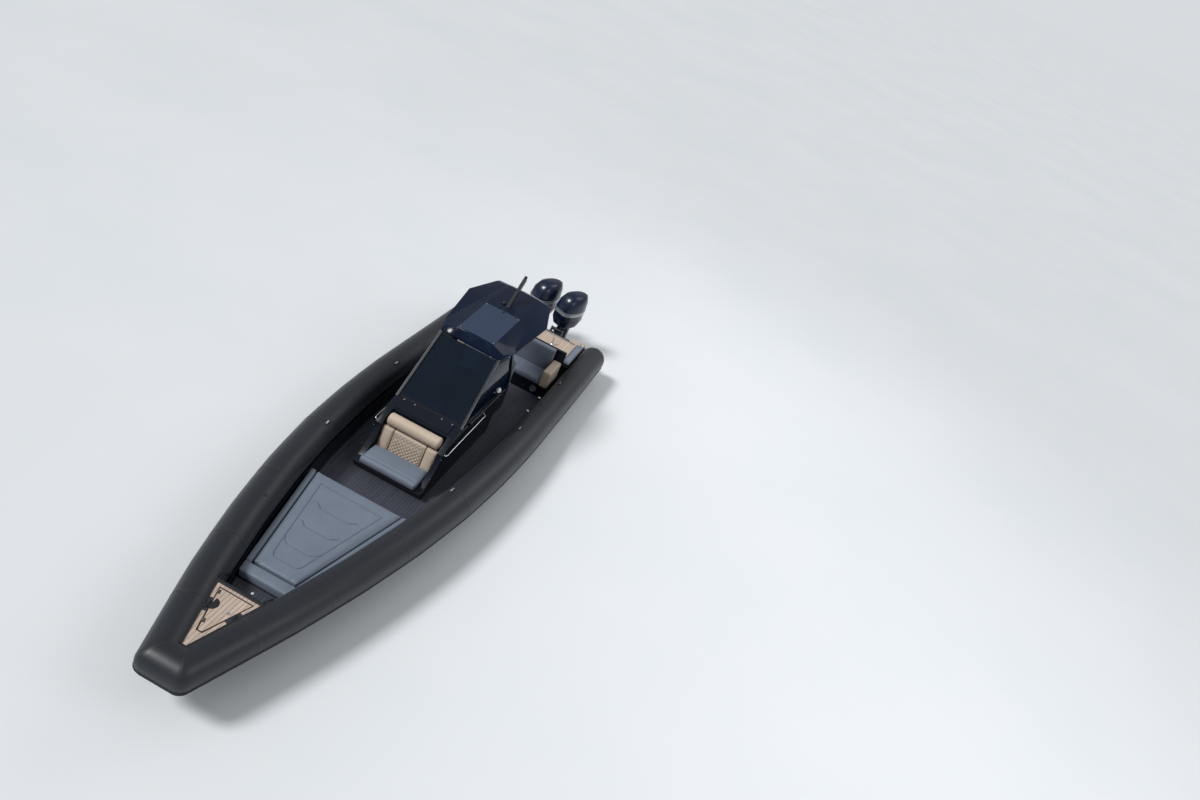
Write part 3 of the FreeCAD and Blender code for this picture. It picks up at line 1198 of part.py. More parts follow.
# Every object is checked before anything is written.
for item in doc.Objects:
    if "Invalid" in item.State or "Error" in item.State:
        raise RuntimeError("%s failed: %s" % (item.Label, item.State))
pieces = [item for item in doc.Objects if item.TypeId in ("PartDesign::Body", "Part::Feature", "Part::Cylinder")]
for item in pieces:
    if item.Shape.isNull() or not item.Shape.isValid() or not item.Shape.Solids:
        raise RuntimeError("%s has no valid shape" % item.Label)

os.makedirs("parts", exist_ok=True)
for item in pieces:
    item.Shape.exportStep("parts/%s.step" % item.Label)
    box = item.Shape.optimalBoundingBox(False)
    print("%-26s solids %d  x %.0f..%.0f  y %.0f..%.0f  z %.0f..%.0f" % (
        item.Label, len(item.Shape.Solids), box.XMin, box.XMax, box.YMin, box.YMax, box.ZMin, box.ZMax))
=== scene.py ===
import json
import math
import random
from functools import partial

import bmesh
import bpy
import numpy as np
from mathutils import Matrix, Vector
from mathutils.bvhtree import BVHTree

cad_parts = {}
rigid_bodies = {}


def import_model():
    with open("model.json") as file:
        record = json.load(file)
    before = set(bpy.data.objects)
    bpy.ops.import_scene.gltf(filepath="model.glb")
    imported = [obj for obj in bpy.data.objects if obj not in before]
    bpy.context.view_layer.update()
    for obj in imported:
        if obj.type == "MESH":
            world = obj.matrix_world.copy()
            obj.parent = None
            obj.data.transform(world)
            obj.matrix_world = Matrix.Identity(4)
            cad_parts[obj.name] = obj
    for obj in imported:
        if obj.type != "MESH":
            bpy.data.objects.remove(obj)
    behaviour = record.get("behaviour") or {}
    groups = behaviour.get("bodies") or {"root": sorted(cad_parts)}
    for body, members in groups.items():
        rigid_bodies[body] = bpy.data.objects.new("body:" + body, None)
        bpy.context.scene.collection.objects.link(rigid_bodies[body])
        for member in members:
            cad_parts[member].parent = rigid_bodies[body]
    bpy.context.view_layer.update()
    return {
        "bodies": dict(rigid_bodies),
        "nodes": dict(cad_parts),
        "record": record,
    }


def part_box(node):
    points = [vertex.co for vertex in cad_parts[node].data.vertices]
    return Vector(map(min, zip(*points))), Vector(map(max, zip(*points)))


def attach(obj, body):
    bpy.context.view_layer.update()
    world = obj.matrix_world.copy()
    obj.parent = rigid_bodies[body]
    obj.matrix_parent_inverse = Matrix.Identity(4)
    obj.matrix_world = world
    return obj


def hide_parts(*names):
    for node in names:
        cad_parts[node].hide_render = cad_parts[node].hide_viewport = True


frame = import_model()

# Looks of a large open rib boat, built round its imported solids. Metres, +X forward, +Y port, +Z up.

bl_info = {
    "name": "Rib Boat",
    "version": (1, 0, 0),
    "blender": (4, 5, 0),
    "location": "3D View > Sidebar > Rib Boat",
    "description": "Dresses the solids of a large inflatable rib boat",
    "category": "Object",
}

NODES = frame["nodes"]
SLOT_OF = {part["node"]: part["material_slot"] for part in frame["record"]["subparts"]}
BODY_OF = {name: body for body, empty in frame["bodies"].items()
           for name, obj in NODES.items() if obj.parent == empty}
UP = Vector((0, 0, 1))


def linear(code):
    """A colour written as sRGB hex, as the shader wants it."""
    parts = [int(code[i:i + 2], 16) / 255 for i in (1, 3, 5)]
    return tuple(c / 12.92 if c <= 0.04045 else ((c + 0.055) / 1.055) ** 2.4 for c in parts) + (1.0,)


# Sizes and colours

def length(name, description, default):
    return bpy.props.FloatProperty(name=name, description=description, default=default, unit="LENGTH")


def paint(name, description, code):
    return bpy.props.FloatVectorProperty(name=name, description=description, default=linear(code)[:3],
                                         subtype="COLOR", size=3, min=0, max=1)


class BoatSizes(bpy.types.PropertyGroup):
    board_width: length("Board width", "Width of a deck board", 0.055)
    board_seam: length("Board seam", "Width of the dark seam between boards", 0.0045)
    margin_width: length("Margin width", "Width of the boards round the edge of a deck", 0.05)
    seam_tape: length("Seam tape", "Breadth of the tapes over the tube seams", 0.05)
    strake_rib: length("Strake rib", "Height of the ribs on the rubbing strake", 0.017)
    piping: length("Piping", "Thickness of the piping along the cushions", 0.009)
    stitch_pitch: length("Stitch pitch", "Distance from stitch to stitch", 0.014)
    quilt_pitch: length("Quilting", "Distance between the quilted seams of the front backrest", 0.078)
    fine_quilt_pitch: length("Fine quilting", "Distance between the aft backrest's quilted seams", 0.045)
    cushion_swell: length("Swell", "Most that a cushion's cover may swell", 0.022)
    rib_pitch: length("Rib pitch", "Distance from rib to rib on the side pads", 0.03)
    rail_tube: length("Rail tube", "Thickness of the console's grab rails", 0.024)


class BoatColours(bpy.types.PropertyGroup):
    # The tube colour is partly painted shade: darker than the fabric's own charcoal, as most of the tubes
    # lie in shade.
    tube: paint("Tubes", "Colour of the tube fabric", "#191d25")
    gelcoat: paint("Dark gelcoat", "Colour of the deck and console mouldings", "#0a111d")
    roof: paint("Hardtop", "Colour of the glossy hardtop", "#06142a")
    roof_panel: paint("Roof panel", "Colour of the matt roof panel", "#303c52")
    teak_tan: paint("Light teak", "Colour of the foredeck and aft deck boards", "#bdab9d")
    # The dark teak is a grey brown board, painted darker with the shade that lies over the cockpit sole.
    teak_dark: paint("Dark teak", "Colour of the cockpit boards", "#434550")
    # The grey covers are painted shade: the same beige vinyl as the beige covers, as it looks in shade.
    cover_grey: paint("Grey covers", "Colour of the sunpad and seat covers", "#6c7685")
    cover_beige: paint("Beige covers", "Colour of the headrest roll and bolster covers", "#bdac9a")
    cowl: paint("Cowls", "Colour of the outboards' cowls", "#0a1a31")


def sizes():
    return bpy.context.scene.boat_sizes


def hue(name):
    """A colour of the boat as the shader wants it."""
    return tuple(getattr(bpy.context.scene.boat_colours, name)) + (1.0,)


def shade(colour, share):
    """The same colour, darker or lighter."""
    return tuple(min(1.0, c * share) for c in colour[:3]) + (1.0,)


# Finishes

FINISHES = {}
SOCKETS = {"specular": "Specular IOR Level", "coat": "Coat Weight", "coat_rough": "Coat Roughness",
           "sheen": "Sheen Weight", "sheen_rough": "Sheen Roughness", "metal": "Metallic",
           "clear": "Transmission Weight", "index": "IOR"}


def add(tree, kind, settings=None, links=None):
    """A node with its settings, and a value or another node's socket for each input."""
    node = tree.nodes.new(kind)
    for name, value in (settings or {}).items():
        setattr(node, name, value)
    for name, value in (links or {}).items():
        if isinstance(value, bpy.types.NodeSocket):
            tree.links.new(value, node.inputs[name])
        else:
            node.inputs[name].default_value = value
    return node


def begin(name, colour, roughness, fixed):
    """A new material with its shader, and the object's own coordinates in metres."""
    material = bpy.data.materials.new(name)
    material.use_nodes = True
    tree = material.node_tree
    shader = tree.nodes["Principled BSDF"]
    shader.inputs["Base Color"].default_value = colour
    shader.inputs["Roughness"].default_value = roughness
    for key, value in fixed.items():
        shader.inputs[SOCKETS[key]].default_value = value
    place = add(tree, "ShaderNodeTexCoord").outputs["Object"]
    return material, tree, shader, place


def two_tones(tree, shader, value, start, first, second):
    """Base colour that goes from one tone to another with a pattern."""
    ramp = add(tree, "ShaderNodeValToRGB", None, {"Fac": value})
    for stop, position, colour in zip(ramp.color_ramp.elements, (start, 1 - start), (first, second)):
        stop.position = position
        stop.color = colour
    tree.links.new(ramp.outputs[0], shader.inputs["Base Color"])


def relief(tree, shader, height, depth, strength):
    """Bumps of a depth in metres."""
    bump = add(tree, "ShaderNodeBump", None, {"Height": height, "Distance": depth, "Strength": strength})
    tree.links.new(bump.outputs[0], shader.inputs["Normal"])


def cells(scale, feature="F1"):
    """A grain of small cells."""
    return "ShaderNodeTexVoronoi", {"feature": feature}, {"Scale": scale}, "Distance"


def grit(scale, detail):
    """A grain of fine noise."""
    return "ShaderNodeTexNoise", None, {"Scale": scale, "Detail": detail}, 0


def surface(name, colour, roughness, patch, tones, detail=3.0, stretch=(1, 1, 1), share=1.0, grain=None,
            bumps=None, rough=None, **fixed):
    """A material in soft patches of two tones, each about as large as the patch size.

    Bumps follow its grain, or its patches where it has none. Roughness follows what the bumps leave free.
    """
    base = shade(linear(colour) if colour.startswith("#") else hue(colour), share)
    material, tree, shader, place = begin(name, base, roughness, fixed)
    turned = add(tree, "ShaderNodeMapping", None, {"Vector": place, "Scale": stretch})
    patches = add(tree, "ShaderNodeTexNoise", None, {"Vector": turned.outputs[0], "Scale": 1 / patch,
                                                     "Detail": detail, "Roughness": 0.6}).outputs[0]
    first, second = (linear(tone) if isinstance(tone, str) else shade(base, tone) for tone in tones)
    two_tones(tree, shader, patches, 0.32, first, second)
    pattern = patches
    if grain:
        kind, settings, values, output = grain
        pattern = add(tree, kind, settings, {**values, "Vector": place}).outputs[output]
    if bumps:
        relief(tree, shader, pattern, *bumps)
    if rough:
        spread = add(tree, "ShaderNodeMapRange", None,
                     {"Value": patches if bumps else pattern, "To Min": rough[0], "To Max": rough[1]})
        tree.links.new(spread.outputs[0], shader.inputs["Roughness"])
    return material


def brushed_boards(name, base):
    """Synthetic teak boards: grain along the boat, and each board its own tone."""
    material, tree, shader, place = begin(name, base, 0.68, {"specular": 0.3})
    apart = add(tree, "ShaderNodeSeparateXYZ", None, {"Vector": place})
    pitch = sizes().board_width + sizes().board_seam
    index = add(tree, "ShaderNodeMath", {"operation": "DIVIDE"}, {0: apart.outputs["Y"], 1: pitch})
    index = add(tree, "ShaderNodeMath", {"operation": "ROUND"}, {0: index.outputs[0]})
    tone = add(tree, "ShaderNodeTexWhiteNoise", {"noise_dimensions": "1D"}, {"W": index.outputs[0]})
    # Grain is 1 to 3 mm wide and is drawn 5 mm wide so that it shows.
    along = add(tree, "ShaderNodeMapping", None, {"Vector": place, "Scale": (0.06, 1, 1)})
    grain = add(tree, "ShaderNodeTexNoise", None,
                {"Vector": along.outputs[0], "Scale": 130, "Detail": 5.0, "Roughness": 0.65})
    lift = add(tree, "ShaderNodeMath", {"operation": "MULTIPLY_ADD"},
               {0: tone.outputs["Value"], 1: 0.2, 2: -0.1})
    both = add(tree, "ShaderNodeMath", {"operation": "ADD"}, {0: grain.outputs[0], 1: lift.outputs[0]})
    two_tones(tree, shader, both.outputs[0], 0.25, shade(base, 0.78), shade(base, 1.18))
    relief(tree, shader, grain.outputs[0], 0.0012, 0.5)
    return material


# Sealant between boards is sunk, dull and slightly uneven.
CAULK = dict(roughness=0.7, patch=0.02, tones=(0.8, 1.3), detail=2.0, bumps=(0.0006, 0.5))
# Soft embossed vinyl over foam has a low sheen, a fine leather grain and slightly uneven colour.
# The pebbles are 1 mm across and are drawn 5 mm across so that they show.
VINYL = dict(roughness=0.5, patch=0.35, tones=(0.94, 1.06), grain=cells(210, "SMOOTH_F1"),
             bumps=(0.0006, 0.45), rough=(0.44, 0.58), sheen=0.12, sheen_rough=0.5, specular=0.4)

LOOKS = {
    # Coated polyester, glued in panels: matt with a soft sheen, faint weave and slow patches of wear.
    # The weave's threads are 0.6 mm apart, and are drawn 6 mm apart so that they show.
    "coated_tube_fabric": dict(colour="tube", roughness=0.52, patch=0.45, tones=(0.9, 1.08),
                               grain=cells(170), bumps=(0.0004, 0.5), rough=(0.38, 0.5), sheen=0.08,
                               sheen_rough=0.4, specular=0.5),
    # Strips of the same coated fabric glued over the seams: a shade darker, with crisp edges.
    "bonded_seam_tape": dict(colour="tube", share=0.74, roughness=0.5, patch=0.12, tones=(0.92, 1.07),
                             grain=cells(190), bumps=(0.0003, 0.5), sheen=0.1),
    # Extruded EPDM fender: deep black, dull, with scuffed greyer ridges.
    "extruded_rubber": dict(colour="#16181c", roughness=0.62, patch=0.05, tones=(1.0, "#25282d"), detail=5.0,
                            stretch=(0.25, 1, 1), bumps=(0.0008, 0.4), specular=0.35),
    # Dark gelcoat on a laminate, polished: deep colour under a clear gloss with a little orange peel.
    "polished_gelcoat": dict(colour="gelcoat", roughness=0.3, patch=0.3, tones=(0.88, 1.15),
                             rough=(0.26, 0.36), specular=0.25, coat=0.1, coat_rough=0.1),
    # Dark grey topsides and bottom, buffed less than the deck: softer gloss, faint water marks.
    "hull_gelcoat": dict(colour="#20262e", roughness=0.35, patch=0.5, tones=(0.85, 1.2), detail=4.0,
                         stretch=(0.4, 1, 2), rough=(0.28, 0.46), coat=0.3, coat_rough=0.2),
    # Navy gelcoat polished to a mirror: near black in shade and blue where the light catches it.
    "roof_gelcoat": dict(colour="roof", roughness=0.18, patch=0.4, tones=(0.85, 1.2), rough=(0.15, 0.22),
                         specular=0.15, coat=0.08, coat_rough=0.05),
    # Matt paint with fine grit on the walk-on panel: blue grey, no highlights, a sandy surface.
    # The grit is 0.5 mm across, and is drawn at 4 mm so that it shows.
    "sprayed_non_slip": dict(colour="roof_panel", roughness=0.78, patch=0.08, tones=(0.92, 1.08), detail=6.0,
                             grain=grit(260, 3.0), bumps=(0.0008, 0.6), specular=0.3),
    # Black sealant of the cockpit's dark boards.
    "deck_caulk": dict(CAULK, colour="#1b1b1d"),
    # Brown sealant of the light boards, only a little darker than they are.
    "brown_deck_caulk": dict(CAULK, colour="#62564d"),
    # Sunpad, seat and side pad covers in painted shade: the beige vinyl as it looks in shade, a cool grey.
    "grey_marine_vinyl": dict(VINYL, colour="cover_grey"),
    # Warm beige covers of the headrest roll, bolsters and quilted panel.
    "beige_marine_vinyl": dict(VINYL, colour="cover_beige"),
    # Waxed polyester thread: thin, slightly shiny, darker than the covers.
    "waxed_thread": dict(colour="#4a4d54", roughness=0.45, patch=0.01, tones=(0.85, 1.15)),
    # Smoked acrylic panes: nearly black from outside, with a clean hard gloss.
    "tinted_acrylic": dict(colour="#15304a", roughness=0.03, patch=0.6, tones=("#122b43", "#183651"),
                           rough=(0.02, 0.05), clear=0.8, index=1.4, specular=0.3),
    # Powder coated aluminium tube: satin black with a fine even texture.
    "powder_coat_black": dict(colour="#15181d", roughness=0.34, patch=0.15, tones=(0.85, 1.25),
                              grain=grit(420, 2.0), bumps=(0.0003, 0.3), specular=0.25, coat=0.1,
                              coat_rough=0.2),
    # Injection moulded ABS fittings: black, satin, finely grained.
    "moulded_abs": dict(colour="#191b1f", roughness=0.45, patch=0.06, tones=(0.85, 1.25), grain=cells(500),
                        bumps=(0.0002, 0.4), specular=0.45),
    # Electropolished 316 steel: bright, with soft streaks along the polishing.
    "polished_stainless": dict(colour="#d3d6d9", roughness=0.16, patch=0.05, tones=("#c3c7cb", "#dee0e2"),
                               detail=4.0, stretch=(0.2, 1, 1), rough=(0.1, 0.26), metal=1.0),
    # Automotive lacquer on moulded cowls: navy base coat with fine flake under clear coat.
    # Flakes are 0.1 mm across and are drawn at 2 mm so that they show.
    "cowl_lacquer": dict(colour="cowl", roughness=0.28, patch=0.5, tones=(0.85, 1.25), grain=cells(500),
                         rough=(0.2, 0.4), specular=0.3, coat=0.25, coat_rough=0.05),
    # Satin silver grey lacquer of the cowls' bands and the handholds' inserts; along the frames' edges it
    # makes painted highlights.
    "band_lacquer": dict(colour="#9aa1a8", roughness=0.34, patch=0.2, tones=(0.92, 1.06), coat=0.5,
                         metal=0.3),
    # Pressure cast aluminium under dark grey enamel: satin, slightly lumpy.
    "painted_casting": dict(colour="#262a30", roughness=0.4, patch=0.05, tones=(0.85, 1.2), detail=4.0,
                            bumps=(0.0008, 0.3), coat=0.3, coat_rough=0.25),
    # Cast and ground stainless: bright grey, brushed round the hub.
    "cast_propeller_steel": dict(colour="#aeb3b7", roughness=0.28, patch=0.02, tones=("#9ca2a6", "#c0c4c8"),
                                 detail=5.0, stretch=(6, 1, 1), rough=(0.2, 0.4), metal=1.0),
    # Frosted polycarbonate lamp glass: milky white with a soft gloss.
    "frosted_lens": dict(colour="#e6eaee", roughness=0.3, patch=0.03, tones=("#dde2e6", "#f0f2f4"),
                         coat=0.6),
    # Bonded display glass: black mirror with a faint blue cast.
    "display_glass": dict(colour="#060a10", roughness=0.06, patch=0.15, tones=("#05080d", "#0a1018"),
                          coat=1.0),
    # Seamless paper of a photo studio: pale, flat and without gloss.
    "studio_floor": dict(colour="#dfe3e6", roughness=0.9, patch=6.0, tones=("#dde1e4", "#e2e5e8"),
                         specular=0.1),
}

# Sanded PVC teak, dry and matt with a soft grain: a light tan, and a grey brown painted darker with the
# shade that lies on the cockpit.
BOARDS = {"light_synthetic_teak": "teak_tan", "dark_synthetic_teak": "teak_dark"}

SLOT_LOOK = {
    "hull_gelcoat": "hull_gelcoat",
    "tube_fabric": "coated_tube_fabric",
    "strake_rubber": "extruded_rubber",
    "moulding_black": "polished_gelcoat",
    "planking_dark": "dark_synthetic_teak",
    "planking_tan": "light_synthetic_teak",
    "upholstery_grey": "grey_marine_vinyl",
    "upholstery_beige": "beige_marine_vinyl",
    "tinted_glass": "tinted_acrylic",
    "roof_gloss": "roof_gelcoat",
    "roof_matt": "sprayed_non_slip",
    "frame_black": "powder_coat_black",
    "fittings_black": "moulded_abs",
    "stainless": "polished_stainless",
    "outboard_paint": "cowl_lacquer",
    "outboard_metal": "painted_casting",
    "propeller_steel": "cast_propeller_steel",
}


def finish(name):
    """A finish by its name, made once."""
    if name not in FINISHES:
        boarded = name in BOARDS
        FINISHES[name] = brushed_boards(name, hue(BOARDS[name])) if boarded else surface(name, **LOOKS[name])
    return FINISHES[name]


# Making pieces

BOARD_LENGTH = 1.9
BOARD_THICKNESS = 0.006
BED_SINK = 0.0025
BAND_LIFT = 0.0012
SAME_HEIGHT = 0.004
SHARP = 0.7
SHORTEST = 0.02
STITCH_RADIUS = 0.0016


def settle(obj, slot, look=None, body="boat", nodes=()):
    """Give a piece its look or its slot's, its body, and hide the solids that it stands for."""
    if look or not obj.data.materials:
        obj.data.materials.clear()
        obj.data.materials.append(finish(look or SLOT_LOOK[slot]))
    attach(obj, body)
    if nodes:
        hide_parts(*nodes)
    return obj


def new_object(name, mesh):
    obj = bpy.data.objects.new(name, mesh)
    bpy.context.scene.collection.objects.link(obj)
    return obj


def from_bmesh(name, bm, angle=35):
    """An object from a bmesh, shaded smooth up to an angle between its faces."""
    mesh = bpy.data.meshes.new(name)
    bm.to_mesh(mesh)
    bm.free()
    mesh.polygons.foreach_set("use_smooth", [True] * len(mesh.polygons))
    mesh.set_sharp_from_angle(angle=math.radians(angle))
    return new_object(name, mesh)


def from_lists(name, verts, faces, angle=35, recalc=True):
    """An object from points and faces."""
    bm = bmesh.new()
    made = [bm.verts.new(v) for v in verts]
    for face in faces:
        bm.faces.new([made[i] for i in face])
    if recalc:
        bmesh.ops.remove_doubles(bm, verts=bm.verts, dist=1e-6)
        bmesh.ops.recalc_face_normals(bm, faces=bm.faces)
    return from_bmesh(name, bm, angle)


def from_rings(name, rings, angle=35, closed=False, pole=None):
    """An object from rings of points, closed on itself or with flat ends, or with a pole at its start."""
    verts = [v for ring in rings for v in ring]
    rows, size = len(rings), len(rings[0])
    faces = []
    for i in range(rows if closed else rows - 1):
        j = (i + 1) % rows
        for k in range(size):
            n = (k + 1) % size
            faces.append((i * size + k, i * size + n, j * size + n, j * size + k))
    if not closed:
        faces.append(tuple((rows - 1) * size + k for k in range(size)))
        if pole is None:
            faces.append(tuple(range(size))[::-1])
        else:
            verts.append(pole)
            faces += [(k, (k + 1) % size, len(verts) - 1) for k in range(size)]
    return from_lists(name, verts, faces, angle)


def from_lines(name, verts, edges=()):
    """An object of bare points and edges, for a node tree to work on."""
    mesh = bpy.data.meshes.new(name)
    mesh.from_pydata(verts, edges, [])
    return new_object(name, mesh)


def merged(node):
    """A copy of a solid's mesh with its corners joined and its flat faces whole."""
    bm = bmesh.new()
    bm.from_mesh(NODES[node].data)
    bmesh.ops.remove_doubles(bm, verts=bm.verts, dist=2e-5)
    bmesh.ops.dissolve_limit(bm, angle_limit=math.radians(0.5), verts=bm.verts, edges=bm.edges)
    return bm


def round_edges(obj, width, segments=3, angle=35):
    bevel = obj.modifiers.new("edges", "BEVEL")
    bevel.width = width
    bevel.segments = segments
    bevel.limit_method = "ANGLE"
    bevel.angle_limit = math.radians(angle)
    bevel.harden_normals = True
    return obj


def dressed(node, name, width=0.006, segments=3, angle=35):
    """A solid's own shape with its edges rounded, in its finish."""
    obj = from_bmesh(name, merged(node), 40)
    if width:
        round_edges(obj, width, segments, angle)
    return settle(obj, SLOT_OF[node], body=BODY_OF[node], nodes=[node])


def applied(obj):
    """The piece with its modifiers made part of its mesh."""
    bpy.context.view_layer.update()
    graph = bpy.context.evaluated_depsgraph_get()
    mesh = bpy.data.meshes.new_from_object(obj.evaluated_get(graph), depsgraph=graph)
    mesh.name = obj.name
    obj.modifiers.clear()
    obj.data = mesh
    return obj


def joined(name, objects, angle=35):
    """One object from several, with their materials kept."""
    materials = []
    bm = bmesh.new()
    for obj in objects:
        if obj.modifiers:
            applied(obj)
        places = []
        for material in obj.data.materials:
            if material not in materials:
                materials.append(material)
            places.append(materials.index(material))
        piece = obj.data.copy()
        for polygon in piece.polygons:
            polygon.material_index = places[polygon.material_index] if places else 0
        bm.from_mesh(piece)
        bpy.data.objects.remove(obj)
    whole = from_bmesh(name, bm, angle)
    for material in materials:
        whole.data.materials.append(material)
    return whole


def lathe(name, profile, steps=32):
    """A turned shape about +Z from (radius, height) pairs, closed at its ends."""
    return from_rings(name, [[(x, y, z) for x, y in circle(r, steps)] for r, z in profile])


def stand(obj, place, turn=None):
    """Put a piece's mesh in its place, so that the object stays at the origin."""
    matrix = Matrix.Translation(Vector(place))
    if turn is not None:
        matrix = matrix @ turn
    obj.data.transform(matrix)
    return obj


def facing(direction):
    """A turn that takes +Z to a direction."""
    z = Vector(direction).normalized()
    x = UP.cross(z)
    if x.length < 1e-4:
        x = Vector((0, 1, 0)).cross(z)
    x.normalize()
    y = z.cross(x)
    return Matrix((x, y, z)).transposed().to_4x4()


def swept(name, points, section, closed=False):
    """A section of (across, up) pairs carried along points, square to them."""
    points = [Vector(p) for p in points]
    count = len(points)
    rings = []
    for i, point in enumerate(points):
        before = points[i - 1] if i or closed else point
        after = points[(i + 1) % count] if i + 1 < count or closed else point
        along = ((after - point).normalized() + (point - before).normalized()).normalized()
        side = UP.cross(along)
        if side.length < 1e-4:
            side = Vector((0, 1, 0))
        side.normalize()
        rise = along.cross(side)
        if before != point and after != point:
            side /= max(0.4, along.dot((after - point).normalized()))
        rings.append([point + side * a + rise * b for a, b in section])
    return from_rings(name, rings, closed=closed)


def circle(radius, steps=12):
    return [(radius * math.cos(2 * math.pi * k / steps), radius * math.sin(2 * math.pi * k / steps))
            for k in range(steps)]


def button(name, radius, height):
    """A low round cap with a soft rim."""
    return lathe(name, [(0, height), (radius * 0.7, height), (radius * 0.92, height * 0.8),
                        (radius, height * 0.4), (radius, 0), (0, 0)], 24)


def slab(name, plan, bottom, top):
    """A flat plate from its plan."""
    return from_rings(name, [[(x, y, z) for x, y in plan] for z in (bottom, top)])


def outline(node, top=None):
    """The edge of a solid's flat top, as one closed line of points."""
    bm = top_faces(node, top)[0]
    edges = [e for e in bm.edges if len(e.link_faces) == 1]
    loops = []
    while edges:
        edge = edges.pop()
        line = [edge.verts[0], edge.verts[1]]
        while True:
            ahead = [e for e in line[-1].link_edges if e in edges]
            if not ahead:
                break
            edges.remove(ahead[0])
            line.append(ahead[0].other_vert(line[-1]))
        loops.append([v.co.copy() for v in line])
    bm.free()
    return max(loops, key=lambda line: sum((a - b).length for a, b in zip(line, line[1:])))[:-1]


def edge_trim(name, node, radius, chosen, slot, look):
    """A line along the sharp edges of a solid that the test picks."""
    bm = merged(node)
    verts, edges, seen = [], [], {}
    for edge in bm.edges:
        if len(edge.link_faces) == 2 and edge.calc_face_angle(0) > SHARP and edge.calc_length() > SHORTEST:
            both = edge.link_faces[0].normal + edge.link_faces[1].normal
            if chosen(both, math.copysign(1, edge.verts[0].co.y)):
                pair = []
                for v in edge.verts:
                    if v.index not in seen:
                        seen[v.index] = len(verts)
                        verts.append(v.co[:])
                    pair.append(seen[v.index])
                edges.append(pair)
    bm.free()
    obj = by_nodes(from_lines(name, verts, edges), wires, {"Radius": radius, "Finish": finish(look)})
    return settle(obj, slot, body=BODY_OF[node])


def cut(bm, place, normal, geom=None, clear=False):
    """Cut a mesh, or a part of it, by a plane."""
    bmesh.ops.bisect_plane(bm, geom=geom or bm.verts[:] + bm.edges[:] + bm.faces[:], dist=1e-6,
                           plane_co=place, plane_no=normal, clear_outer=clear)


def band(node, bottom, top):
    """A thin band of a solid's skin between two heights."""
    bm = merged(node)
    cut(bm, (0, 0, bottom), (0, 0, -1), clear=True)
    cut(bm, (0, 0, top), (0, 0, 1), clear=True)
    bm.normal_update()
    for v in bm.verts:
        v.co += Vector((v.normal.x, v.normal.y, 0)).normalized() * BAND_LIFT
    obj = from_bmesh(node + "_band", bm)
    thick = obj.modifiers.new("thickness", "SOLIDIFY")
    thick.thickness = BAND_LIFT * 2
    thick.offset = 0
    return applied(obj)


def rounded(width, height, radius, steps=4):
    """Corners of a rounded rectangle about its middle."""
    corners = []
    for sx, sy, start in ((1, 1, 0), (-1, 1, 90), (-1, -1, 180), (1, -1, 270)):
        cx, cy = sx * (width / 2 - radius), sy * (height / 2 - radius)
        for k in range(steps + 1):
            a = math.radians(start + 90 * k / steps)
            corners.append((cx + radius * math.cos(a), cy + radius * math.sin(a)))
    return corners


def smooth_line(points, step, straight=0.0):
    """Points along a smooth curve through the given ones, drawn toward the straight lines by a share."""
    pts = [Vector(p) for p in points]
    pts = [pts[0] * 2 - pts[1]] + pts + [pts[-1] * 2 - pts[-2]]
    out = []
    for i in range(1, len(pts) - 2):
        a, b, c, d = pts[i - 1:i + 3]
        pieces = max(1, round((c - b).length / step))
        for k in range(pieces):
            t = k / pieces
            curve = 0.5 * (2 * b + (c - a) * t + (2 * a - 5 * b + 4 * c - d) * t * t
                           + (3 * b - a - 3 * c + d) * t * t * t)
            out.append(curve.lerp(b.lerp(c, t), straight))
    out.append(pts[-2])
    return out


# Repeats by geometry nodes

def by_nodes(obj, build, given):
    """What a node tree makes of an object's mesh. The tree is made once and reads the given values."""
    tree = bpy.data.node_groups.get(build.__name__)
    if tree is None:
        tree = bpy.data.node_groups.new(build.__name__, "GeometryNodeTree")
        kinds = {"Item": "NodeSocketObject", "Finish": "NodeSocketMaterial"}
        for title in ("Geometry", *given):
            kind = "NodeSocketGeometry" if title == "Geometry" else kinds.get(title, "NodeSocketFloat")
            tree.interface.new_socket(title, in_out="INPUT", socket_type=kind)
        tree.interface.new_socket("Geometry", in_out="OUTPUT", socket_type="NodeSocketGeometry")
        source = add(tree, "NodeGroupInput").outputs
        made = build(tree, source)
        real = add(tree, "GeometryNodeRealizeInstances", None, {"Geometry": made.outputs[0]})
        done = add(tree, "GeometryNodeSetMaterial", None,
                   {"Geometry": real.outputs[0], "Material": source["Finish"]})
        add(tree, "NodeGroupOutput", None, {"Geometry": done.outputs[0]})
    modifier = obj.modifiers.new(tree.name, "NODES")
    modifier.node_group = tree
    for socket in tree.interface.items_tree:
        if socket.in_out == "INPUT" and socket.name in given:
            modifier[socket.identifier] = given[socket.name]
    return applied(obj)


def wires(tree, source):
    """Round wires along the edges of a mesh."""
    curve = add(tree, "GeometryNodeMeshToCurve", None, {"Mesh": source["Geometry"]})
    ring = add(tree, "GeometryNodeCurvePrimitiveCircle", None, {"Resolution": 8, "Radius": source["Radius"]})
    return add(tree, "GeometryNodeCurveToMesh", None,
               {"Curve": curve.outputs[0], "Profile Curve": ring.outputs[0], "Fill Caps": True})


def copies_on_points(tree, source):
    """Copies of an item on the points of a mesh, turned as the points say."""
    item = add(tree, "GeometryNodeObjectInfo", {"transform_space": "ORIGINAL"}, {"Object": source["Item"]})
    turn = add(tree, "GeometryNodeInputNamedAttribute", {"data_type": "FLOAT_VECTOR"}, {"Name": "turn"})
    points = add(tree, "GeometryNodeMeshToPoints", None, {"Mesh": source["Geometry"]})
    return add(tree, "GeometryNodeInstanceOnPoints", None,
               {"Points": points.outputs[0], "Instance": item.outputs["Geometry"],
                "Rotation": turn.outputs["Attribute"]})


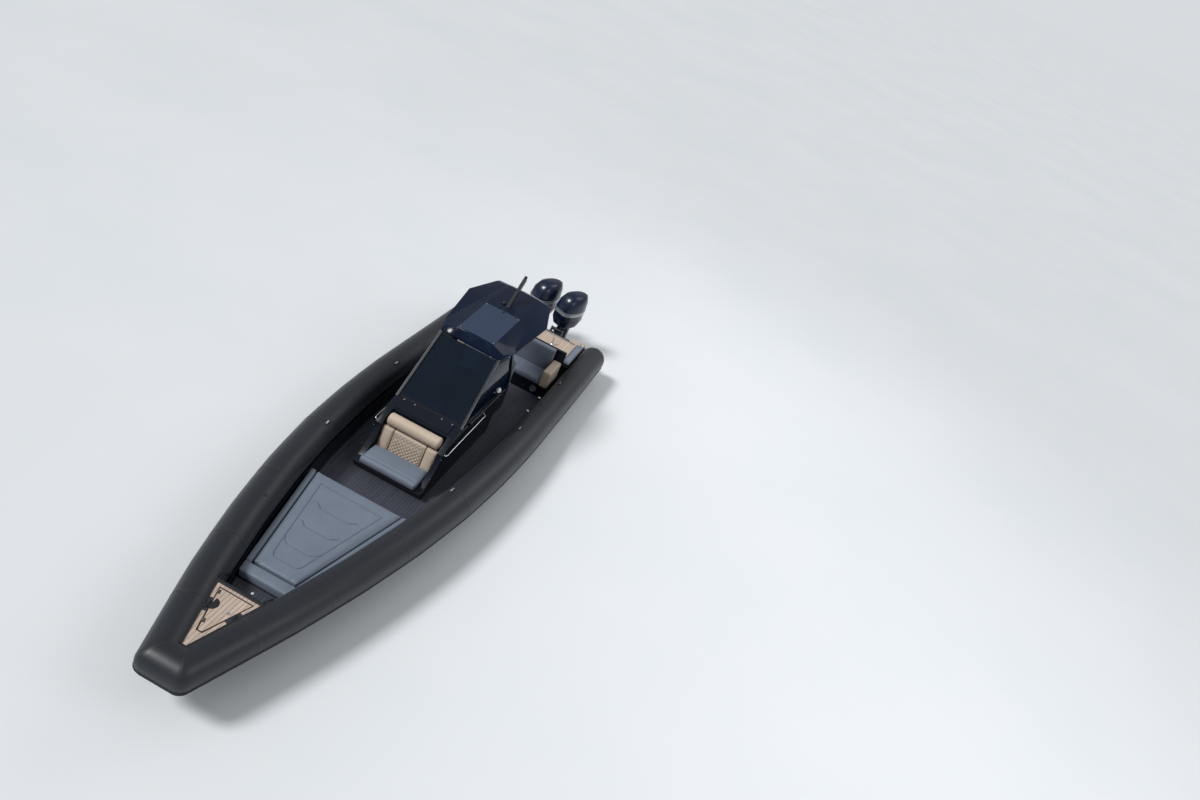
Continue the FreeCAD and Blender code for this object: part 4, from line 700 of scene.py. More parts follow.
def stitches_on_seam(tree, source):
    """Short stitches along a line, a pitch apart."""
    curve = add(tree, "GeometryNodeMeshToCurve", None, {"Mesh": source["Geometry"]})
    spaced = add(tree, "GeometryNodeResampleCurve", {"mode": "LENGTH"},
                 {"Curve": curve.outputs[0], "Length": source["Pitch"]})
    tangent = add(tree, "GeometryNodeInputTangent")
    turn = add(tree, "FunctionNodeAlignRotationToVector", {"axis": "Z"}, {"Vector": tangent.outputs[0]})
    stitch = add(tree, "GeometryNodeMeshCylinder", None,
                 {"Vertices": 6, "Radius": source["Thickness"], "Depth": source["Length"]})
    return add(tree, "GeometryNodeInstanceOnPoints", None,
               {"Points": spaced.outputs[0], "Instance": stitch.outputs[0], "Rotation": turn.outputs[0]})


def copies(name, item, places, slot, look=None, body="boat", nodes=()):
    """Copies of an item at (place, turn) pairs, as one piece."""
    obj = from_lines(name, [tuple(place) for place, turn in places])
    turns = obj.data.attributes.new("turn", "FLOAT_VECTOR", "POINT")
    turns.data.foreach_set("vector", [v for place, turn in places for v in turn.to_3x3().to_euler()])
    by_nodes(obj, copies_on_points, {"Item": item, "Finish": finish(look or SLOT_LOOK[slot])})
    bpy.data.objects.remove(item)
    return settle(obj, slot, body=body, nodes=nodes)


def stitches(name, lines, body, slot):
    """Stitching along lines of points."""
    verts, edges = [], []
    for line in lines:
        first = len(verts)
        verts += [tuple(p) for p in line]
        edges += [(first + i, first + i + 1) for i in range(len(line) - 1)]
    pitch = sizes().stitch_pitch
    given = {"Pitch": pitch, "Length": pitch * 0.62, "Thickness": STITCH_RADIUS,
             "Finish": finish("waxed_thread")}
    return settle(by_nodes(from_lines(name, verts, edges), stitches_on_seam, given), slot, body=body)


# Boards

def top_faces(node, top=None):
    """The flat top of a solid, at a height or where it is highest."""
    bm = merged(node)
    top = top or max(v.co.z for v in bm.verts)
    away = [f for f in bm.faces if f.normal.z < 0.9 or abs(f.calc_center_median().z - top) > SAME_HEIGHT]
    bmesh.ops.delete(bm, geom=away, context="FACES")
    return bm, top


def near(faces, axis, value, reach):
    """Faces whose middle is within reach of a value."""
    return [f for f in faces if abs(f.calc_center_median()[axis] - value) < reach]


def boards(node, name, top, margin):
    """A solid's top cut into boards inside margin boards, with gaps where dark caulk shows."""
    width, seam = sizes().board_width, sizes().board_seam
    pitch = width + seam
    inner, top = top_faces(node, top)
    kept = inner.faces[:]
    ring = []
    if margin:
        for thick in (sizes().margin_width, seam):
            made = bmesh.ops.inset_region(inner, faces=kept, thickness=thick, use_even_offset=True,
                                          use_boundary=True)["faces"]
            ring = ring or made
    whole = set(ring) | set(kept)
    bmesh.ops.delete(inner, geom=[f for f in inner.faces if f not in whole], context="FACES")
    for face in ring:
        face.material_index = 1
    edge = inner.copy()
    bmesh.ops.delete(edge, geom=[f for f in edge.faces if not f.material_index], context="FACES")
    bmesh.ops.delete(inner, geom=[f for f in inner.faces if f.material_index], context="FACES")
    for face in edge.faces:
        face.material_index = 0
    bmesh.ops.triangulate(inner, faces=inner.faces[:])
    ys = [v.co.y for v in inner.verts]
    rows = range(math.floor(min(ys) / pitch) - 1, math.ceil(max(ys) / pitch) + 2)
    for k in rows:
        for side in (-1, 1):
            cut(inner, (0, (k + 0.5) * pitch + side * seam / 2, 0), (0, 1, 0))
    away = [f for k in rows for f in near(inner.faces, 1, (k + 0.5) * pitch, seam / 2)]
    bmesh.ops.delete(inner, geom=away, context="FACES")
    dice = random.Random(11)
    xs = [v.co.x for v in inner.verts]
    start, end = min(xs), max(xs)
    for k in rows:
        x = start + dice.uniform(0.3, 1.0) * BOARD_LENGTH
        while x < end - 0.2:
            for side in (-1, 1):
                strip = near(inner.faces, 1, k * pitch, pitch / 2)
                if strip:
                    points = list({v for f in strip for v in f.verts})
                    lines = list({e for f in strip for e in f.edges})
                    cut(inner, (x + side * seam * 0.3, 0, 0), (1, 0, 0), points + lines + strip)
            away = near(near(inner.faces, 1, k * pitch, pitch / 2), 0, x, seam * 0.25)
            bmesh.ops.delete(inner, geom=away, context="FACES")
            x += BOARD_LENGTH
    parts = [from_bmesh(name + "_boards", inner, 40)]
    if margin:
        parts.append(from_bmesh(name + "_margin", edge, 40))
    for part in parts:
        thick = part.modifiers.new("thickness", "SOLIDIFY")
        thick.thickness = BOARD_THICKNESS
        thick.offset = -1
        round_edges(part, 0.0012, 2, 50)
    return settle(joined(name, parts), SLOT_OF[node], body=BODY_OF[node])


def sunk_base(node, name, look, top):
    """The solid under the boards, its top a little lower."""
    bm = merged(node)
    top = top or max(v.co.z for v in bm.verts)
    for v in bm.verts:
        if abs(v.co.z - top) < SAME_HEIGHT:
            v.co.z -= BED_SINK
    return settle(from_bmesh(name, bm, 40), SLOT_OF[node], look, body=BODY_OF[node], nodes=[node])


# Cushions

def stops(span, radius, cell):
    """Places along a side, close together round its corners."""
    arc = [radius * (1 - math.tan(math.radians(a))) for a in (45, 30, 15, 0)]
    inner = span - 2 * radius
    count = max(1, round(inner / cell))
    middle = [radius + inner * i / count for i in range(1, count)]
    return arc + middle + [span - a for a in reversed(arc)]


def block(plan, bottom, top):
    """Eight corners from a plan of four points, aft starboard first, then fore, then fore port."""
    (a, b, c, d) = plan
    return [[[Vector((*a, bottom)), Vector((*a, top))], [Vector((*d, bottom)), Vector((*d, top))]],
            [[Vector((*b, bottom)), Vector((*b, top))], [Vector((*c, bottom)), Vector((*c, top))]]]


def brick(xs, ys, zs):
    """Eight corners of an upright box, in the same order."""
    return block([(xs[0], ys[0]), (xs[1], ys[0]), (xs[1], ys[1]), (xs[0], ys[1])], *zs)


def leaning(side, start, end):
    """Eight corners of an upright cushion from its side: foot aft and fore, head aft and fore."""
    rows = [[Vector((x, y, z)) for x, z in side] for y in (start, end)]
    return [[[a, b], [c, d]] for a, b, c, d in rows]


def blend_corners(corners, u, v, w):
    """A point between eight corners, by its shares along three sides."""
    out = Vector((0, 0, 0))
    for i, a in ((0, 1 - u), (1, u)):
        for j, b in ((0, 1 - v), (1, v)):
            for k, c in ((0, 1 - w), (1, w)):
                out += corners[i][j][k] * (a * b * c)
    return out


def pad_mesh(name, corners, radii, cell, crown, pull):
    """A closed cushion form: rounded edges, a crowned top and sides that draw in."""
    spans = []
    for axis in range(3):
        ends = []
        for i in (0, 1):
            for j in (0, 1):
                pick = [i, j]
                pick.insert(axis, 0)
                start = corners[pick[0]][pick[1]][pick[2]]
                pick[axis] = 1
                ends.append((corners[pick[0]][pick[1]][pick[2]] - start).length)
        spans.append(sum(ends) / 4)
    radii = [min(r, s * 0.48) for r, s in zip(radii, spans)]
    lines = [stops(s, r, cell) for s, r in zip(spans, radii)]
    counts = [len(line) for line in lines]
    index, verts, faces = {}, [], []

    def vert(i, j, k):
        key = (i, j, k)
        if key not in index:
            p = [lines[0][i], lines[1][j], lines[2][k]]
            q = [min(max(p[n], radii[n]), spans[n] - radii[n]) for n in range(3)]
            e = [(p[n] - q[n]) / radii[n] for n in range(3)]
            size = math.sqrt(sum(x * x for x in e))
            if size > 0:
                p = [q[n] + radii[n] * e[n] / size for n in range(3)]
            u, v, w = (p[n] / spans[n] for n in range(3))
            swell = (1 - (2 * u - 1) ** 4) * (1 - (2 * v - 1) ** 4)
            w += crown * swell / spans[2] * max(0.0, 2 * w - 1)
            u += (0.5 - u) * 2 * pull / spans[0] * math.sin(math.pi * v)
            v += (0.5 - v) * 2 * pull / spans[1] * math.sin(math.pi * u)
            index[key] = len(verts)
            verts.append(blend_corners(corners, u, v, w))
        return index[key]

    for axis in range(3):
        a, b = [n for n in range(3) if n != axis]
        for side in (0, counts[axis] - 1):
            for i in range(counts[a] - 1):
                for j in range(counts[b] - 1):
                    ring = []
                    for di, dj in ((0, 0), (1, 0), (1, 1), (0, 1)):
                        key = [0, 0, 0]
                        key[axis], key[a], key[b] = side, i + di, j + dj
                        ring.append(vert(*key))
                    faces.append(ring)
    last = [n - 1 for n in counts]
    rim = [(i, 0) for i in range(last[0])] + [(last[0], j) for j in range(last[1])]
    rim += [(i, last[1]) for i in range(last[0], 0, -1)] + [(0, j) for j in range(last[1], 0, -1)]
    return from_lists(name, verts, faces, 180), [index[(i, j, last[2])] for i, j in rim]


CLOTH = {"quality": 4, "mass": 0.3, "tension_stiffness": 20, "compression_stiffness": 20,
         "shear_stiffness": 8, "bending_stiffness": 2, "use_pressure": True, "uniform_pressure_force": 4.0}
CLOTH_FRAMES = 20
SIDEWAYS = 0.003


def swell(obj, held, outward, cap):
    """Blow a cushion's cover up by simulation, and keep each point near its place."""
    rest = np.array([v.co[:] for v in obj.data.vertices])
    group = obj.vertex_groups.new(name="held")
    group.add([int(i) for i in held], 1.0, "REPLACE")
    cloth = obj.modifiers.new("cloth", "CLOTH")
    for key, value in CLOTH.items():
        setattr(cloth.settings, key, value)
    cloth.settings.vertex_group_mass = "held"
    cloth.settings.effector_weights.gravity = 0
    cloth.collision_settings.use_collision = False
    cloth.point_cache.frame_start = 1
    cloth.point_cache.frame_end = CLOTH_FRAMES
    scene = bpy.context.scene
    for number in range(1, CLOTH_FRAMES + 1):
        scene.frame_set(number)
    graph = bpy.context.evaluated_depsgraph_get()
    puffed = obj.evaluated_get(graph).data
    moved = np.array([v.co[:] for v in puffed.vertices])
    obj.modifiers.clear()
    obj.vertex_groups.clear()
    scene.frame_set(1)
    step = moved - rest
    out = np.array(outward)
    rise = step @ out
    flat = step - rise[:, None] * out
    final = rest + (cap * np.tanh(rise / cap))[:, None] * out + SIDEWAYS * np.tanh(flat / SIDEWAYS)
    if not np.isfinite(final).all():
        raise RuntimeError("the cover of %s blew up; lower its pressure" % obj.name)
    obj.data.vertices.foreach_set("co", final.ravel())
    obj.data.update()


def finer(obj, levels):
    """A piece divided finer and smoothed."""
    smooth = obj.modifiers.new("finer", "SUBSURF")
    smooth.levels = smooth.render_levels = levels
    return applied(obj)


def distance_to(points, lines):
    """Distance of plan points from the nearest of some lines."""
    best = np.full(len(points), 1e9)
    for line in lines:
        for a, b in zip(line[:-1], line[1:]):
            a, b = np.array(a, float), np.array(b, float)
            d = b - a
            t = np.clip(((points - a) @ d) / max(d @ d, 1e-12), 0, 1)
            best = np.minimum(best, np.linalg.norm(points - a - t[:, None] * d, axis=1))
    return best


def reshape(obj, outward, sink, least=0.35):
    """Lower the side of a cushion that faces outward, by what a rule gives for each point."""
    mesh = obj.data
    co = np.array([v.co[:] for v in mesh.vertices])
    normal = np.array([v.normal[:] for v in mesh.vertices])
    out = np.array(Vector(outward).normalized())
    co -= (sink(co) * np.clip((normal @ out - least) / 0.3, 0, 1))[:, None] * out
    mesh.vertices.foreach_set("co", co.ravel())
    mesh.update()


def quilt(obj, pitch, axes, outward, depth, inside):
    """Diamond quilting inside a frame, each diamond a small pillow."""
    def sink(co):
        a, b = co[:, axes[0]], co[:, axes[1]]
        pillow = np.sqrt(np.abs(np.sin(np.pi * (a + b) / pitch) * np.sin(np.pi * (a - b) / pitch)))
        edge = np.minimum.reduce([a - inside[0][0], inside[0][1] - a, b - inside[1][0], inside[1][1] - b])
        return depth * (1 - pillow) * np.clip(edge / 0.015, 0, 1)
    reshape(obj, outward, sink, 0.5)


def flute(obj, pitch, depth):
    """Ribs across a flat pad."""
    reshape(obj, UP, lambda co: depth * (1 - np.sqrt(np.abs(np.sin(np.pi * co[:, 0] / pitch)))))


def on_surface(obj, line, outward, lift=0.0, step=0.03):
    """A line of points dropped on a cushion from outside."""
    tree = BVHTree.FromPolygons([v.co for v in obj.data.vertices],
                                [p.vertices[:] for p in obj.data.polygons])
    out = Vector(outward).normalized()
    points = []
    for a, b in zip(line[:-1], line[1:]):
        pieces = max(1, round((b - a).length / step))
        points += [a.lerp(b, k / pieces) for k in range(pieces)]
    points.append(line[-1])
    hits = [tree.ray_cast(point + out * 0.6, -out)[0] for point in points]
    return [hit + out * lift for hit in hits if hit is not None]


def even(points, outward, passes=6):
    """A line with its small rises and falls taken out."""
    for _ in range(passes):
        for k in range(1, len(points) - 1):
            middle = (points[k - 1] + points[k + 1]) / 2
            points[k] = points[k] + outward * ((middle - points[k]).dot(outward) / 2)
    return points


def sewn_net(pad, name, pitch, inside, outward, radius, node):
    """Thread along the diamonds of a quilted cover."""
    (left, right), (foot, head) = inside
    out = Vector(outward).normalized()
    ahead = max(v.co.x for v in pad.data.vertices)
    cords = []
    for slant in (1, -1):
        for k in range(-80, 81):
            ends = sorted(((k * pitch - left) * slant, (k * pitch - right) * slant))
            low_end, high_end = max(ends[0], foot), min(ends[1], head)
            if high_end - low_end > 0.02:
                line = [Vector((ahead, k * pitch - slant * z, z)) for z in (low_end, high_end)]
                found = even(on_surface(pad, line, out, 0.0006, 0.02), out, 2)
                if len(found) > 1:
                    cords.append(swept("thread", found, circle(radius, 5)))
    settle(joined(name, cords, 180), SLOT_OF[node], "waxed_thread", body=BODY_OF[node])


def cushion(name, forms, radii, cell, node, levels=1, seams=(), axes=(0, 1), crown=0.012, pull=0.004,
            piped=True, pinned=True):
    """Padded pieces for a solid: crowned forms whose covers are blown up by simulation, then made finer."""
    body, slot = BODY_OF[node], SLOT_OF[node]
    pads, cords, welts = [], [], []
    for corners in forms:
        obj, rim = pad_mesh(name, corners, radii, cell, crown, pull)
        outward = sum((corners[i][j][1] - corners[i][j][0] for i in (0, 1) for j in (0, 1)),
                      Vector()).normalized()
        co = np.array([v.co[:] for v in obj.data.vertices])
        depth = (co - np.array(corners[0][0][0])) @ np.array(outward)
        sewn = (distance_to(co[:, axes], seams) < cell * 0.6) & (depth > depth.max() * 0.7)
        held = (depth < 0.02) | (sewn & pinned)
        swell(obj, np.nonzero(held)[0], outward, sizes().cushion_swell * (0.5 if seams else 0.35))
        if piped:
            line = [obj.data.vertices[i].co.copy() for i in rim]
            cords.append(swept("cord", line, circle(sizes().piping / 2, 8), True))
        finer(obj, levels)
        if seams:
            reshape(obj, outward, lambda co: 0.009 * np.exp(-(distance_to(co[:, axes], seams) / 0.012) ** 2))
        for seam in seams:
            place = np.array([v.co[:] for v in obj.data.vertices]).max(axis=0)
            line = []
            for pair in seam:
                point = Vector(place)
                point[axes[0]], point[axes[1]] = pair
                line.append(point)
            found = even(on_surface(obj, line, outward, -0.001), outward)
            if len(found) > 1:
                welts.append(swept("welt", found, circle(0.0028, 6)))
        pads.append(obj)
    pad = settle(joined(name, pads, 180), slot, body=body, nodes=[node])
    if piped:
        settle(joined(name + "_piping", cords, 180), slot, body=body)
    if welts:
        settle(joined(name + "_seams", welts, 180), slot, "waxed_thread", body=body)
    return pad


# Tubes

TUBE_LINE = [(6.13, 0.18, 0.772, 0.252), (4.67, 0.634, 0.772, 0.267), (3.45, 0.946, 0.758, 0.278),
             (2.22, 1.199, 0.735, 0.285), (1.0, 1.38, 0.705, 0.287), (-0.23, 1.486, 0.671, 0.287),
             (-1.46, 1.534, 0.637, 0.287), (-2.68, 1.531, 0.604, 0.287), (-3.91, 1.524, 0.573, 0.287),
             (-5.98, 1.505, 0.54, 0.287)]
AROUND = 56
MITRE_STEPS = 6
CAP_STEPS = 9
STRAKE_ANGLE = math.radians(-24)
HANDHOLD_ANGLE = math.radians(118)


def tube_line(step=0.09):
    """The port tube's centre line and radius, from its mitre to its stern."""
    return smooth_line(TUBE_LINE, step, 0.5)


class Mitre:
    """The corner of a side tube and the bow tube, rounded more on its outside than on its inside."""

    def __init__(self, line):
        self.corner = Vector(line[0][:2])
        self.height, self.radius = line[0][2], line[0][3]
        back = (Vector(line[2][:2]) - self.corner).normalized()
        across = Vector((0, -1))
        self.legs = (back, across)
        self.out = -(back + across).normalized()
        self.half = (math.pi - back.angle(across)) / 2

    def point(self, angle, grow=0.0, turn=None, run=0.0):
        """A point at an angle round the tube, by its turn from the seam or by its run over the surface."""
        reach = (self.radius + grow) * math.cos(angle)
        fillet = 0.02 + 0.6 * max(0.0, reach)
        over = 0.0
        if turn is None:
            turn = run / fillet
            if abs(turn) > self.half:
                over = abs(run) - fillet * self.half
                turn = math.copysign(self.half, run)
        middle = self.corner + self.out * ((reach - fillet) / math.cos(self.half))
        flat = middle + Matrix.Rotation(-turn, 2) @ self.out * fillet + self.legs[turn > 0] * over
        return Vector((flat.x, max(flat.y, 0.002), self.height + (self.radius + grow) * math.sin(angle)))


def mirrored(rings):
    """The same rings of points on the other side of the boat."""
    return [[Vector((p.x, -p.y, p.z)) for p in ring] for ring in rings]


def outward_of(chain):
    """For each point of the chain, the way outboard, a little longer at its bends."""
    out = []
    for i, point in enumerate(chain):
        before = chain[max(i - 1, 0)]
        after = chain[min(i + 1, len(chain) - 1)]
        d1 = Vector((point[0] - before[0], point[1] - before[1], 0))
        d2 = Vector((after[0] - point[0], after[1] - point[1], 0))
        if d1.length < 1e-6:
            d1 = d2
        if d2.length < 1e-6:
            d2 = d1
        n1 = UP.cross(d1.normalized())
        n2 = UP.cross(d2.normalized())
        middle = (n1 + n2).normalized()
        out.append(middle / max(0.3, middle.dot(n1)))
    return out


def tube_point(point, outward, angle, grow=0.0):
    """A point on the tube at an angle above the outboard side."""
    r = point[3] + grow
    return Vector(point[:3]) + outward * (r * math.cos(angle)) + UP * (r * math.sin(angle))


def line_across(line, i):
    """The way forward along the tube at a point of its line, and the way outboard."""
    along = Vector(line[i - 1][:3]) - Vector(line[i + 1][:3])
    return along, UP.cross(Vector((along.x, along.y, 0)).normalized())


def nearest(line, x):
    """Where along the tube's line an x lies."""
    return min(range(1, len(line) - 1), key=lambda n: abs(line[n][0] - x))


def place_on_tube(x, angle, side):
    """A place on a side tube, with a turn whose Z stands off the tube and X runs along it."""
    line = tube_line()
    i = nearest(line, x)
    along, outward = line_across(line, i)
    where = tube_point(line[i], outward, angle)
    z = outward * math.cos(angle) + UP * math.sin(angle)
    if side < 0:
        where.y, z.y, along.y = -where.y, -z.y, -along.y
    xdir = (along - z * along.dot(z)).normalized()
    return where, Matrix((xdir, z.cross(xdir), z)).transposed().to_4x4()


class BuildTubes(bpy.types.Operator):
    """Inflatable tubes with their seams, rubbing strakes, handholds and valves"""
    bl_idname = "ribboat.tubes"
    bl_label = "Tubes"

    def execute(self, context):
        angles = [2 * math.pi * k / AROUND for k in range(AROUND)]
        line = tube_line()
        mitre = Mitre(line)
        side = [p for p in reversed(line) if (Vector(p[:2]) - mitre.corner).length > 0.24]
        outward = outward_of(side)
        rules = [partial(tube_point, point, out) for point, out in zip(side, outward)]
        rules += [partial(mitre.point, turn=mitre.half * k / MITRE_STEPS)
                  for k in range(-MITRE_STEPS, MITRE_STEPS + 1)]
        radii = [p[3] for p in side] + [mitre.radius] * (2 * MITRE_STEPS + 1)
        rings = [[rule(a) for a in angles] for rule in rules]
        caps = []
        stern, radius, aft = Vector(side[0][:3]), side[0][3], Vector((-1, 0, 0))
        for t in range(CAP_STEPS - 1, 0, -1):
            a = math.pi / 2 * t / CAP_STEPS
            small = Vector((*(stern + aft * radius * math.sin(a)), radius * math.cos(a)))
            caps.append([tube_point(small, outward[0], b) for b in angles])
        seam = len(side) + MITRE_STEPS + 1
        shell = caps + rings[:seam] + [[stern + aft * radius]]
        for name, whole in (("tube_port", shell), ("tube_starboard", mirrored(shell))):
            skin = from_rings(name + "_skin", whole[:-1], 40, pole=whole[-1][0])
            settle(skin, "tube_fabric", nodes=[name])
        bow = rings[seam - 1:]
        settle(from_rings("tube_bow_skin", bow + mirrored(bow)[::-1], 40), "tube_fabric", nodes=["tube_bow"])
        self.tapes(mitre, angles)
        self.strakes(rules, radii)
        self.handholds()
        return {"FINISHED"}

    def tapes(self, mitre, angles):
        """Tapes over the seams: at the mitres, round the stern caps and between the panels."""
        width = sizes().seam_tape / 2
        profile = [(-width, -0.002), (-width, 0.0004), (-width + 0.004, 0.0016), (width - 0.004, 0.0016),
                   (width, 0.0004), (width, -0.002)]
        line = tube_line(0.02)
        hoops = []
        for x in (5.25, 4.1, 2.6, 1.0, -0.85, -2.68, -4.6, -5.96):
            i = nearest(line, x)
            along, out = line_across(line, i)
            along.normalize()
            rings = []
            for a in angles:
                away = out * math.cos(a) + UP * math.sin(a)
                rings.append([Vector(line[i][:3]) + along * s + away * (line[i][3] + h) for s, h in profile])
            hoops += [rings, mirrored(rings)]
        rings = [[mitre.point(a, h + 0.0004, None, s) for s, h in profile] for a in angles]
        hoops += [rings, mirrored(rings)]
        parts = [from_rings("tape", rings, 30, closed=True) for rings in hoops]
        settle(joined("tube_seam_tapes", parts), "tube_fabric", "bonded_seam_tape")

    def strakes(self, rules, radii):
        """The ribbed rubbing strake, in one run round the bow."""
        rib = sizes().strake_rib
        half = [(0.045, 0.0), (0.043, 0.3), (0.036, 0.85), (0.027, 1.0), (0.018, 0.85), (0.012, 0.45)]
        profile = [(-s, h) for s, h in half] + [(0.0, 0.35)] + half[::-1] + [(0.03, -0.25), (-0.03, -0.25)]
        rings = []
        for rule, radius in zip(rules, radii):
            rings.append([rule(STRAKE_ANGLE + s / radius, rib * h) for s, h in profile])
        settle(from_rings("rubbing_strake", rings + mirrored(rings)[::-1], 50), "strake_rubber",
               nodes=["rubbing_strakes"])

    def handholds(self):
        """Moulded rubber handholds with a bright insert, and the filling valves."""
        rings = []
        for share, height in ((1.0, -0.004), (1.0, 0.003), (0.95, 0.010), (0.84, 0.014), (0.66, 0.012),
                              (0.56, 0.004), (0.5, 0.002)):
            ring = []
            for c, s in circle(1, 28):
                x = 0.095 * share * math.copysign(abs(c) ** 0.8, c)
                y = 0.04 * share * math.copysign(abs(s) ** 0.9, s)
                ring.append((x, y, height - y * y / 0.57))
            rings.append(ring)
        plate = swept("plate", smooth_line([(-0.066, 0, 0.002), (-0.04, 0, 0.012), (0, 0, 0.016),
                                            (0.04, 0, 0.012), (0.066, 0, 0.002)], 0.008),
                      rounded(0.034, 0.004, 0.0015, 2))
        places = [place_on_tube(x, HANDHOLD_ANGLE, side) for x in (1.0, -1.6, -3.9) for side in (1, -1)]
        copies("handhold_grips", from_rings("grip", rings, 50), places, "strake_rubber",
               nodes=["tube_handholds"])
        copies("handhold_inserts", plate, places, "stainless", "band_lacquer")
        valve = lathe("valve", [(0.0, 0.008), (0.012, 0.008), (0.016, 0.006), (0.03, 0.005), (0.033, 0.002),
                                (0.033, -0.003), (0.0, -0.003)], 24)
        places = [place_on_tube(x, HANDHOLD_ANGLE, side) for x in (3.2, 0.0, -2.8, -5.0) for side in (1, -1)]
        copies("filling_valves", valve, places, "fittings_black")


class BuildHull(bpy.types.Operator):
    """Hull, deck moulding and towing eyes"""
    bl_idname = "ribboat.hull"
    bl_label = "Hull"

    def execute(self, context):
        dressed("hull", "hull_shell", width=0)
        dressed("deck_moulding", "deck_shell", width=0)
        dressed("towing_eyes", "towing_eye_plates", width=0.002)
        return {"FINISHED"}


class BuildDecks(bpy.types.Operator):
    """Foredeck, cockpit sole, step, aft deck and swim platforms with their boards and fittings"""
    bl_idname = "ribboat.decks"
    bl_label = "Decks"

    def execute(self, context):
        for node, name, top in (("cockpit_planking", "cockpit_sole", None),
                                ("bow_step", "bow_step_tread", None),
                                ("foredeck_planking", "foredeck_teak", None),
                                ("bow_locker_lid", "bow_lid_teak", 0.938),
                                ("aft_deck_planking", "aft_deck_teak", None),
                                ("platform_planking", "platform_teak", None)):
            boards(node, name, top, node not in ("bow_locker_lid", "foredeck_planking"))
            bed = "brown_deck_caulk" if SLOT_OF[node] == "planking_tan" else "deck_caulk"
            sunk_base(node, name + "_bed", "polished_gelcoat" if node == "bow_step" else bed, top)
        for node in ("foredeck", "aft_deck", "swim_platforms"):
            dressed(node, node + "_shell", width=0.008)
        ring = outline("foredeck_planking")
        bead = swept("foredeck_bead", [p + Vector((0, math.copysign(0.014, p.y), 0.005)) for p in ring],
                     rounded(0.052, 0.034, 0.012), True)
        settle(bead, "fittings_black")
        gasket = swept("bow_lid_gasket", outline("bow_locker_lid", 0.938), rounded(0.012, 0.004, 0.001, 2),
                       True)
        settle(gasket, "fittings_black", "deck_caulk", body="bow_lid")
        dressed("bow_cleats", "bow_cleat_bars", width=0.006, segments=4)
        plates = [stand(slab("plate", rounded(0.24, 0.062, 0.015), 0, 0.004), (5.24, side * 0.205, 0.9375),
                        Matrix.Rotation(-side * 0.295, 4, "Z")) for side in (1, -1)]
        settle(joined("bow_cleat_plates", plates), SLOT_OF["bow_cleats"], "painted_casting")
        plate = [(0.1 * math.cos(a) + 5.2, 0.1 * math.sin(a) - 0.172)
                 for a in (math.radians(10 * k) for k in range(19))]
        latch = [slab("latch_plate", plate, 0.9375, 0.9415),
                 stand(button("latch", 0.024, 0.012), (5.22, 0.1, 0.938))]
        latch[1].data.materials.append(finish("polished_stainless"))
        latch[0].data.materials.append(finish("moulded_abs"))
        settle(joined("bow_lid_latch", latch), "stainless", body="bow_lid")
        arms = []
        for side in (1, -1):
            path = [(4.83, side * 0.352, 0.925), (4.79, side * 0.36, 0.965), (4.66, side * 0.374, 0.9),
                    (4.5, side * 0.39, 0.7), (4.44, side * 0.395, 0.5)]
            arms.append(swept("arm", smooth_line(path, 0.02), circle(0.013, 12)))
            arms.append(stand(button("foot", 0.03, 0.008), (4.44, side * 0.395, 0.5)))
        settle(joined("bow_grab_rails", arms), "fittings_black", "powder_coat_black")
        lamp = stand(button("lamp", 0.022, 0.006), (4.42, -0.06, 0.5))
        settle(lamp, "fittings_black", "frosted_lens")
        return {"FINISHED"}


class BuildSunpad(bpy.types.Operator):
    """Sunpad with its fixed border and the cushion on its lid"""
    bl_idname = "ribboat.sunpad"
    bl_label = "Sunpad"

    def execute(self, context):
        dressed("sunpad_base", "sunpad_box", width=0.01)
        dressed("sunpad_lid", "sunpad_board", width=0.003)
        strips = []
        for side in (1, -1):
            plan = [(1.803, side * 0.922), (4.075, side * 0.466), (4.075, side * 0.38),
                    (1.803, side * 0.829)]
            strips.append(block(plan, 0.5, 0.65))
        strips.append(block([(4.079, -0.464), (4.287, -0.422), (4.287, 0.422), (4.079, 0.464)], 0.5, 0.65))
        cushion("sunpad_border_pads", strips, (0.03, 0.03, 0.03), 0.03, "sunpad_border", crown=0.006,
                pull=0.0)
        half = [(2.05, -0.58), (3.72, -0.25), (3.79, -0.2), (3.8, -0.14)]
        ring = half + [(x, -y) for x, y in reversed(half)] + half[:1]
        seams = [ring]
        for rows in (((2.48, 0.495), (2.44, 0.37), (2.53, 0.25)), ((2.9, 0.412), (2.92, 0.32), (3.01, 0.22)),
                     ((3.33, 0.327), (3.43, 0.27), (3.48, 0.19))):
            seams.append([(x, -y) for x, y in rows] + [(x, y) for x, y in reversed(rows)])
        plan = [(1.806, -0.809), (4.034, -0.361), (4.034, 0.361), (1.806, 0.809)]
        pad = cushion("sunpad_cushion", [block(plan, 0.526, 0.648)], (0.03, 0.03, 0.03), 0.034,
                      "sunpad_lid_cushion", levels=2, seams=seams, crown=0.004, pull=0.0, pinned=False)
        lines = []
        for seam in seams:
            for shift in (0.016, -0.016):
                line = [Vector((x + shift, y + (shift if y < 0 else -shift) * 0.4, 0.65)) for x, y in seam]
                lines.append(even(on_surface(pad, line, UP, 0.001), UP))
        stitches("sunpad_stitching", lines, "sunpad_cover", "upholstery_grey")
        return {"FINISHED"}


